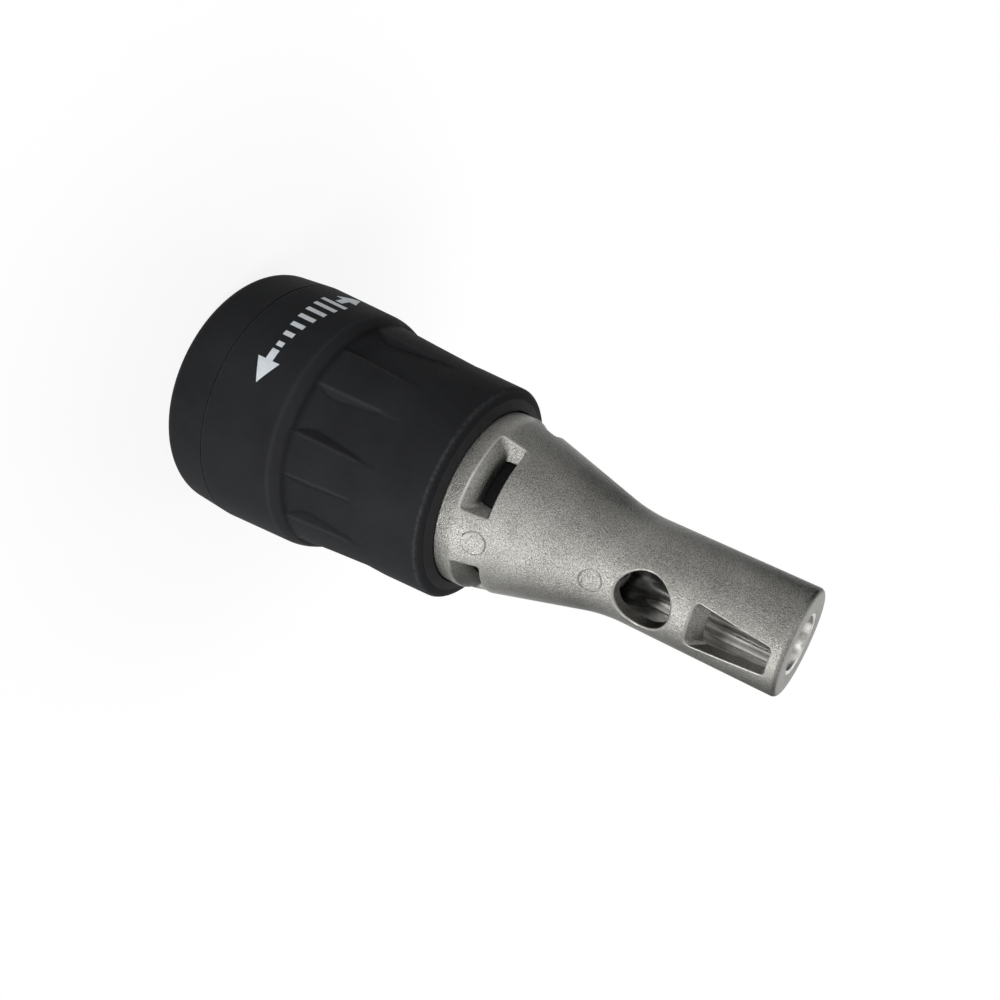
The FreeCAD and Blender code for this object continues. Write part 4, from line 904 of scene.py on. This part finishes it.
def roll_cutter(name, rows):
    """Closed cutter from rows of points, rolled up from a grid and capped."""
    deselect_all()
    count = len(rows[0])
    bpy.ops.mesh.primitive_grid_add(x_subdivisions=count, y_subdivisions=len(rows) - 1, size=1.0)
    cutter = bpy.context.object
    cutter.name = name
    for index, vertex in enumerate(cutter.data.vertices):
        row, column = divmod(index, count + 1)
        vertex.co = rows[row][column % count]
    bpy.ops.object.mode_set(mode="EDIT")
    close_up(fill=True)
    return cutter


def straight_cutter(name, sizes, outline_at, lip):
    """Cutter for a window on the -Y side, whose walls run straight in from a rounded rim."""
    def flat_row(reach, depth, offset):
        return [(place.x, -reach, place.y) for place in outline_at(depth, offset)]

    rows = [flat_row(sizes.cutter_top, 0.0, LIP_FLARE_SHARE * lip)]
    for offset, rise in lip_rows(lip):
        row = []
        for place in outline_at(max(0.0, -rise), offset):
            reach = math.sqrt(nose_radius(sizes, place.y) ** 2 - place.x ** 2)
            row.append((place.x, -reach - rise, place.y))
        rows.append(row)
    rows.append(flat_row(sizes.cutter_bottom, sizes.tube_radius - sizes.cutter_bottom, 0.0))
    return roll_cutter(name, rows)


def round_window_cutter(sizes):
    """Cutter for the round window, whose walls are the same at any depth."""
    middle = Vector((0.0, sizes.round_height))
    turns = [math.tau * step / sizes.round_steps for step in range(sizes.round_steps)]

    def outline_at(depth, offset):
        reach = sizes.round_window + offset
        return [middle + Vector((math.cos(turned), math.sin(turned))) * reach for turned in turns]
    return straight_cutter("round_window_cutter", sizes, outline_at, sizes.round_lip)


def tapered_window_cutter(sizes):
    """Cutter for the tapered window, whose rear wall slopes forwards with its depth."""
    taper = (sizes.window_front_half - sizes.window_rear_half) / (sizes.window_front - sizes.window_rear)
    radii = (sizes.rear_corner, sizes.rear_corner, sizes.front_corner, sizes.front_corner)

    def outline_at(depth, offset):
        rear = sizes.window_rear + sizes.window_slope * depth
        rear_half = sizes.window_rear_half + taper * (rear - sizes.window_rear)
        corners = [(-rear_half, rear), (rear_half, rear), (sizes.window_front_half, sizes.window_front),
                   (-sizes.window_front_half, sizes.window_front)]
        return divide_sides(rounded_outline(corners, radii, segments=6), WINDOW_CUTS, offset)
    return straight_cutter("tapered_window_cutter", sizes, outline_at, sizes.lip)


def slot_cutter(name, sizes, bearing):
    """Cutter for one finger slot: a ramp at its rear, drafted ends and a rounded rim."""
    wall = sizes.base_radius - sizes.spigot_bore

    def row_at(depth, offset, radius=None):
        inwards = depth / wall
        half = (sizes.slot_half + (sizes.slot_floor_half - sizes.slot_half) * inwards) * sizes.base_radius
        facet = min(1.0, inwards / sizes.facet_depth)
        beyond = max(0.0, inwards - sizes.facet_depth) / (1.0 - sizes.facet_depth)
        run = sizes.facet_run * facet + (1.0 - sizes.facet_run) * beyond
        rear = sizes.slot_rear + sizes.slot_ramp * run
        corners = [(-half, rear), (half, rear), (half, sizes.slot_front), (-half, sizes.slot_front)]
        spots = rounded_outline(corners, (sizes.slot_corner,) * 4, segments=4)
        row = []
        for spot in divide_sides(spots, SLOT_CUTS, offset):
            angle = bearing + spot.x / sizes.base_radius
            reach = nose_radius(sizes, spot.y) - depth if radius is None else radius
            row.append((reach * math.cos(angle), reach * math.sin(angle), spot.y))
        return row

    rows = [row_at(0.0, LIP_FLARE_SHARE * sizes.lip, sizes.base_radius * SLOT_TOP_SHARE)]
    rows += [row_at(-rise, offset) for offset, rise in lip_rows(sizes.lip)]
    rows += [row_at(depth, 0.0) for depth in (sizes.facet_depth * wall, sizes.slot_depth)]
    rows.append(row_at(wall * SLOT_DEPTH_SHARE, 0.0, sizes.spigot_bore * SLOT_BOTTOM_SHARE))
    return roll_cutter(name, rows)


class DEPTHSTOP_OT_cast_nose(bpy.types.Operator):
    """Model the cast nose: a turned shell with ribs, finger slots and two windows with soft rims"""
    bl_idname = "depthstop.cast_nose"
    bl_label = "Cast nose"

    def execute(self, context):
        sizes = context.scene.depth_stop_nose
        points = [
            (sizes.spigot_bore, sizes.rear), (sizes.base_radius, sizes.rear),
            (sizes.base_radius, sizes.cone_rear), (sizes.tube_radius, sizes.cone_front),
            (sizes.tube_radius, sizes.front), (sizes.mouth_radius, sizes.front),
            (sizes.mouth_radius, sizes.cavity_front), (sizes.tube_bore, sizes.cavity_front),
            (sizes.tube_bore, sizes.bore_front), (sizes.spigot_bore, sizes.bore_rear)]
        nose = draw_outline("cast_nose", points)
        soften_corner(nose, sizes.base_radius, sizes.cone_rear, sizes.base_rounding, segments=6)
        soften_corner(nose, sizes.tube_radius, sizes.cone_front, sizes.cone_rounding, segments=12)
        soften_corner(nose, sizes.tube_radius, sizes.front, sizes.tip_rounding, segments=6)
        soften_corner(nose, sizes.mouth_radius, sizes.front, sizes.mouth_chamfer, segments=2)
        divide_run(nose, sizes.rear, sizes.front, sizes.mouth_radius, sizes.grain)
        spin_round(sizes.steps)
        raise_ribs(nose, sizes)
        cutters = [round_window_cutter(sizes), tapered_window_cutter(sizes)]
        for index in range(sizes.slot_count):
            bearing = sizes.slot_turn + math.tau * index / sizes.slot_count
            cutters.append(slot_cutter("slot_cutter_%d" % (index + 1), sizes, bearing))
        cutter = join_all(cutters)
        apply_modifier(nose, "openings", "BOOLEAN", operation="DIFFERENCE", solver="EXACT", object=cutter)
        bpy.data.objects.remove(cutter, do_unlink=True)
        clean_mesh(nose, SLIVER)
        smooth_shade(nose, degrees=34.0)
        colours = context.scene.depth_stop_colours
        set_finish(nose, cast_finish(colours, sizes))
        finish_openings(nose, sizes, bore_finish(colours), rim_finish(colours))
        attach(nose, "nose")
        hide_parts("nose_sleeve")
        return {"FINISHED"}


def add_patch(middle, width, height, across, taper=0.0):
    """Flat patch of print in angle and height; a taper of one makes its far end a point."""
    deselect_all()
    bpy.ops.mesh.primitive_grid_add(x_subdivisions=across, y_subdivisions=2, size=1.0)
    patch = bpy.context.object
    for vertex in patch.data.vertices:
        run = vertex.co.x + 0.5
        vertex.co.y *= height * (1.0 - taper * run)
        vertex.co.x = middle + width * vertex.co.x
    clean_mesh(patch, TOUCH)
    return patch


def wrap_on_band(piece, grip, mark):
    """Bend a flat print, drawn in angle and height, round the smooth band."""
    for vertex in piece.data.vertices:
        angle, height = vertex.co.x, mark.middle + vertex.co.y
        along = (height - grip.rear) / (grip.band_front - grip.rear)
        radius = grip.band_radius + (grip.band_front_radius - grip.band_radius) * along + mark.lift
        vertex.co = (radius * math.cos(angle), radius * math.sin(angle), height)
    piece.data.update()
    for face in piece.data.polygons:
        if face.normal.dot(face.center) < 0.0:
            face.flip()
    piece.data.update()


class DEPTHSTOP_OT_depth_mark(bpy.types.Operator):
    """Model the white print: two arrowheads with graduated bars between them"""
    bl_idname = "depthstop.depth_mark"
    bl_label = "Depth mark"

    def execute(self, context):
        mark = context.scene.depth_stop_mark
        patches = []
        for tip, way in ((mark.start, 1.0), (mark.end, -1.0)):
            run = way * mark.arrow_length
            stem = tip - run - way * mark.stem_length / 2
            patches.append(add_patch(tip - run / 2, run, mark.arrow_height, across=14, taper=1.0))
            patches.append(add_patch(stem, mark.stem_length, mark.stem_height, across=6))
        first = mark.start - mark.arrow_length - mark.stem_length
        last = mark.end + mark.arrow_length + mark.stem_length
        pitch = (last - first) / mark.bar_count
        for index in range(mark.bar_count):
            height = mark.low_bar + (mark.high_bar - mark.low_bar) * index / (mark.bar_count - 1)
            patches.append(add_patch(first + pitch * (index + 0.5), mark.bar_angle, height, across=4))
        piece = join_all(patches)
        rename(piece, "depth_mark")
        wrap_on_band(piece, context.scene.depth_stop_grip, mark)
        apply_modifier(piece, "ink", "SOLIDIFY", thickness=mark.ink, offset=1.0)
        bpy.ops.object.mode_set(mode="EDIT")
        close_up()
        smooth_shade(piece, degrees=30.0)
        set_finish(piece, print_finish(context.scene.depth_stop_colours))
        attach(piece, "adjusting_ring")
        return {"FINISHED"}


class DEPTHSTOP_OT_clutch_spring(bpy.types.Operator):
    """Model the clutch spring as a fixed coil of round wire; in the tool it shortens as the bit is pressed in
    """
    bl_idname = "depthstop.clutch_spring"
    bl_label = "Clutch spring"

    def execute(self, context):
        sizes = context.scene.depth_stop_spring
        deselect_all()
        bpy.ops.mesh.primitive_circle_add(
            vertices=sizes.wire_steps, radius=sizes.wire, rotation=(math.pi / 2, 0.0, 0.0),
            location=(sizes.radius - sizes.wire, 0.0, sizes.rear + sizes.wire))
        spring = context.object
        rename(spring, "clutch_coil")
        bpy.ops.object.transform_apply(location=True, rotation=True, scale=True)
        apply_modifier(spring, "coil", "SCREW", axis="Z", angle=math.tau, iterations=sizes.turns,
                       screw_offset=(sizes.front - sizes.rear - sizes.wire * 2) / sizes.turns,
                       steps=sizes.steps, render_steps=sizes.steps)
        bpy.ops.object.mode_set(mode="EDIT")
        close_up(fill=True)
        smooth_shade(spring, degrees=50.0)
        colours = context.scene.depth_stop_colours
        set_finish(spring, steel_finish(colours, "spring_steel", colours.spring, roughness=0.36))
        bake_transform(spring)
        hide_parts("clutch_spring")
        return {"FINISHED"}


class DEPTHSTOP_OT_finish_pieces(bpy.types.Operator):
    """Give the carried-over pieces of the attachment their finishes"""
    bl_idname = "depthstop.finish_pieces"
    bl_label = "Piece finishes"

    def execute(self, context):
        colours = context.scene.depth_stop_colours
        groups = (
            (bpy.data.materials["moulded_grip"], ("lock_collar",)),
            (moulding_finish(colours), ("coupling_housing", "nose_carrier")),
            (steel_finish(colours, "turned_steel", colours.steel, roughness=0.3), (
                "lock_pin_1", "lock_pin_2", "lock_pin_3", "drive_dog", "spindle", "bit_socket",
                "thread_sleeve", "ring_washer", "dog_washer", "spindle_washer", "detent_balls")),
            (bpy.data.materials["spring_steel"], (
                "collar_circlip", "ring_circlip", "dog_circlip", "seal_circlip", "detent_springs",
                "bit_clip")),
            (bronze_finish(colours), ("rear_bush", "front_bush")),
            (rubber_finish(colours), ("wiper_ring", "carrier_o_ring", "dust_seal")),
            (steel_finish(colours, "plated_magnet", colours.magnet, roughness=0.2), ("bit_magnet",)))
        for material, names in groups:
            for name in names:
                repaint_node(name, material)
        return {"FINISHED"}


def face_axis(item, bearing, elevation, distance, height):
    """Put a lamp or card at a bearing and elevation, with its face to a height on the axis."""
    target = Vector((0.0, 0.0, height))
    turned, rise = math.radians(bearing), math.radians(elevation)
    flat = distance * math.cos(rise)
    place = target + Vector((flat * math.cos(turned), flat * math.sin(turned), distance * math.sin(rise)))
    item.location = place
    item.rotation_euler = (target - place).to_track_quat("-Z", "Y").to_euler()


def soft_lamp(name, watts, width, depth, **place):
    """Rectangular lamp that lights the pieces and stays out of the picture."""
    data = bpy.data.lights.new(name, "AREA")
    data.shape = "RECTANGLE"
    data.size = width
    data.size_y = depth
    data.energy = watts
    lamp = bpy.data.objects.new(name, data)
    bpy.context.scene.collection.objects.link(lamp)
    face_axis(lamp, **place)
    lamp.visible_camera = False
    return lamp


def white_to_the_eye(nodes, strength_seen, strength_else):
    """Strength that is one value for what the camera and mirrors see, and another for light."""
    path = nodes.node("ShaderNodeLightPath").outputs
    seen = nodes.most(path["Is Camera Ray"], path["Is Glossy Ray"], path["Is Transmission Ray"])
    return nodes.spread(seen, 0.0, 1.0, strength_else, strength_seen)


def white_world(settings):
    """White surroundings that give only a little even light."""
    world = bpy.data.worlds.new("white_room")
    bpy.context.scene.world = world
    nodes = Nodes(world)
    strength = white_to_the_eye(nodes, 1.0, settings.ambient)
    light = nodes.node("ShaderNodeBackground", {"Color": WHITE, "Strength": strength})
    nodes.node("ShaderNodeOutputWorld", {"Surface": light.outputs["Background"]})


def pale_floor(settings):
    """Floor that shows a shadow by the object and turns plain white further off."""
    deselect_all()
    bpy.ops.mesh.primitive_plane_add(size=settings.floor_width, location=(0.0, 0.0, 0.0))
    floor = bpy.context.object
    floor.name = "floor"
    material = bpy.data.materials.new("pale_floor")
    nodes = Nodes(material)
    distance = nodes.vectors("LENGTH", nodes.node("ShaderNodeTexCoord").outputs["Object"])["Value"]
    fade = nodes.spread(distance, settings.shadow_near, settings.shadow_far, settings.floor_glow, 1.0,
                        interpolation_type="SMOOTHSTEP")
    seen = nodes.times(white_to_the_eye(nodes, 1.0, 0.0), fade)
    matt = nodes.node("ShaderNodeBsdfDiffuse", {"Color": settings.floor_colour}).outputs["BSDF"]
    glow = nodes.node("ShaderNodeEmission", {"Color": WHITE}).outputs["Emission"]
    mixed = nodes.node("ShaderNodeMixShader", {"Fac": seen, 1: matt, 2: glow})
    nodes.node("ShaderNodeOutputMaterial", {"Surface": mixed.outputs["Shader"]})
    floor.data.materials.append(material)


def mirror_card(name, tone, width, height_along, **place):
    """Card that only reflections see, in a tone of grey."""
    deselect_all()
    bpy.ops.mesh.primitive_plane_add(size=1.0)
    card = bpy.context.object
    card.name = name
    card.scale = (width, height_along, 1.0)
    face_axis(card, **place)
    material = bpy.data.materials.new(name)
    nodes = Nodes(material)
    glow = nodes.node("ShaderNodeEmission", {"Color": (tone, tone, tone, 1.0)})
    nodes.node("ShaderNodeOutputMaterial", {"Surface": glow.outputs["Emission"]})
    card.data.materials.append(material)
    card.visible_camera = False
    card.visible_diffuse = False
    card.visible_shadow = False


def photo_camera(settings):
    """Camera with the place and directions that were fitted to the photograph."""
    data = bpy.data.cameras.new("photo_camera")
    data.lens = settings.lens
    data.sensor_width = 36.0
    data.clip_start = 0.01
    camera = bpy.data.objects.new("photo_camera", data)
    bpy.context.scene.collection.objects.link(camera)
    place = (-0.10158, -0.16576, 0.14535)
    right = (-0.17082, 0.53384, 0.82816)
    up = (-0.86281, 0.32483, -0.38734)
    back = (-0.47578, -0.78071, 0.40511)
    camera.matrix_world = Matrix.Translation(place) @ Matrix((right, up, back)).transposed().to_4x4()
    bpy.context.scene.camera = camera


class DEPTHSTOP_OT_stage(bpy.types.Operator):
    """Set up the floor, the soft light and the camera"""
    bl_idname = "depthstop.stage"
    bl_label = "Stage"

    def execute(self, context):
        settings = context.scene.depth_stop_stage
        context.scene.view_settings.view_transform = "Standard"
        white_world(settings)
        pale_floor(settings)
        middle = settings.middle
        key = soft_lamp("key_lamp", settings.key_power, width=0.16, depth=0.16,
                        bearing=-80.0, elevation=20.0, distance=0.45, height=middle)
        key.visible_glossy = False
        glint = soft_lamp("glint_lamp", settings.glint_power, width=0.34, depth=0.07,
                          bearing=-70.0, elevation=0.0, distance=0.3, height=settings.glint_height)
        glint.visible_diffuse = False
        soft_lamp("fill_lamp", settings.fill_power, width=0.16, depth=0.16,
                  bearing=-128.0, elevation=16.0, distance=0.5, height=middle)
        back = soft_lamp("back_lamp", settings.back_power, width=0.25, depth=0.3,
                         bearing=66.0, elevation=14.0, distance=0.5, height=middle)
        back.visible_glossy = False
        mirror_card("dark_card", 0.02, width=0.44, height_along=0.6,
                    bearing=124.0, elevation=12.0, distance=0.32, height=middle)
        mirror_card("right_card", 0.2, width=0.4, height_along=0.6,
                    bearing=14.0, elevation=12.0, distance=0.34, height=middle)
        mirror_card("left_card", 0.32, width=0.3, height_along=0.195,
                    bearing=-165.0, elevation=0.0, distance=0.4, height=settings.left_height)
        photo_camera(settings)
        return {"FINISHED"}


class DEPTHSTOP_PT_panel(bpy.types.Panel):
    """Buttons that build the attachment's visual model"""
    bl_idname = "DEPTHSTOP_PT_panel"
    bl_label = "Depth stop"
    bl_space_type = "VIEW_3D"
    bl_region_type = "UI"
    bl_category = "Depth stop"

    def draw(self, context):
        for operator in OPERATORS:
            self.layout.operator(operator.bl_idname)


OPERATORS = (DEPTHSTOP_OT_grip_ring, DEPTHSTOP_OT_depth_mark, DEPTHSTOP_OT_cast_nose,
             DEPTHSTOP_OT_clutch_spring, DEPTHSTOP_OT_finish_pieces, DEPTHSTOP_OT_stage)
GROUPS = (("depth_stop_grip", GripSizes), ("depth_stop_nose", NoseSizes), ("depth_stop_mark", MarkSizes),
          ("depth_stop_spring", SpringSizes), ("depth_stop_colours", FinishColours),
          ("depth_stop_stage", StageSettings))


def register():
    """Add the classes and give the scene its groups of settings."""
    for name, group in GROUPS:
        bpy.utils.register_class(group)
        setattr(bpy.types.Scene, name, PointerProperty(type=group))
    for item in OPERATORS + (DEPTHSTOP_PT_panel,):
        bpy.utils.register_class(item)


def unregister():
    """Take the groups of settings and the classes away again."""
    for item in (DEPTHSTOP_PT_panel,) + OPERATORS:
        bpy.utils.unregister_class(item)
    for name, group in GROUPS:
        delattr(bpy.types.Scene, name)
        bpy.utils.unregister_class(group)


def main():
    """Build every piece and the stage."""
    register()
    bpy.ops.depthstop.grip_ring()
    bpy.ops.depthstop.depth_mark()
    bpy.ops.depthstop.cast_nose()
    bpy.ops.depthstop.clutch_spring()
    bpy.ops.depthstop.finish_pieces()
    bpy.ops.depthstop.stage()


if __name__ == "__main__":
    main()
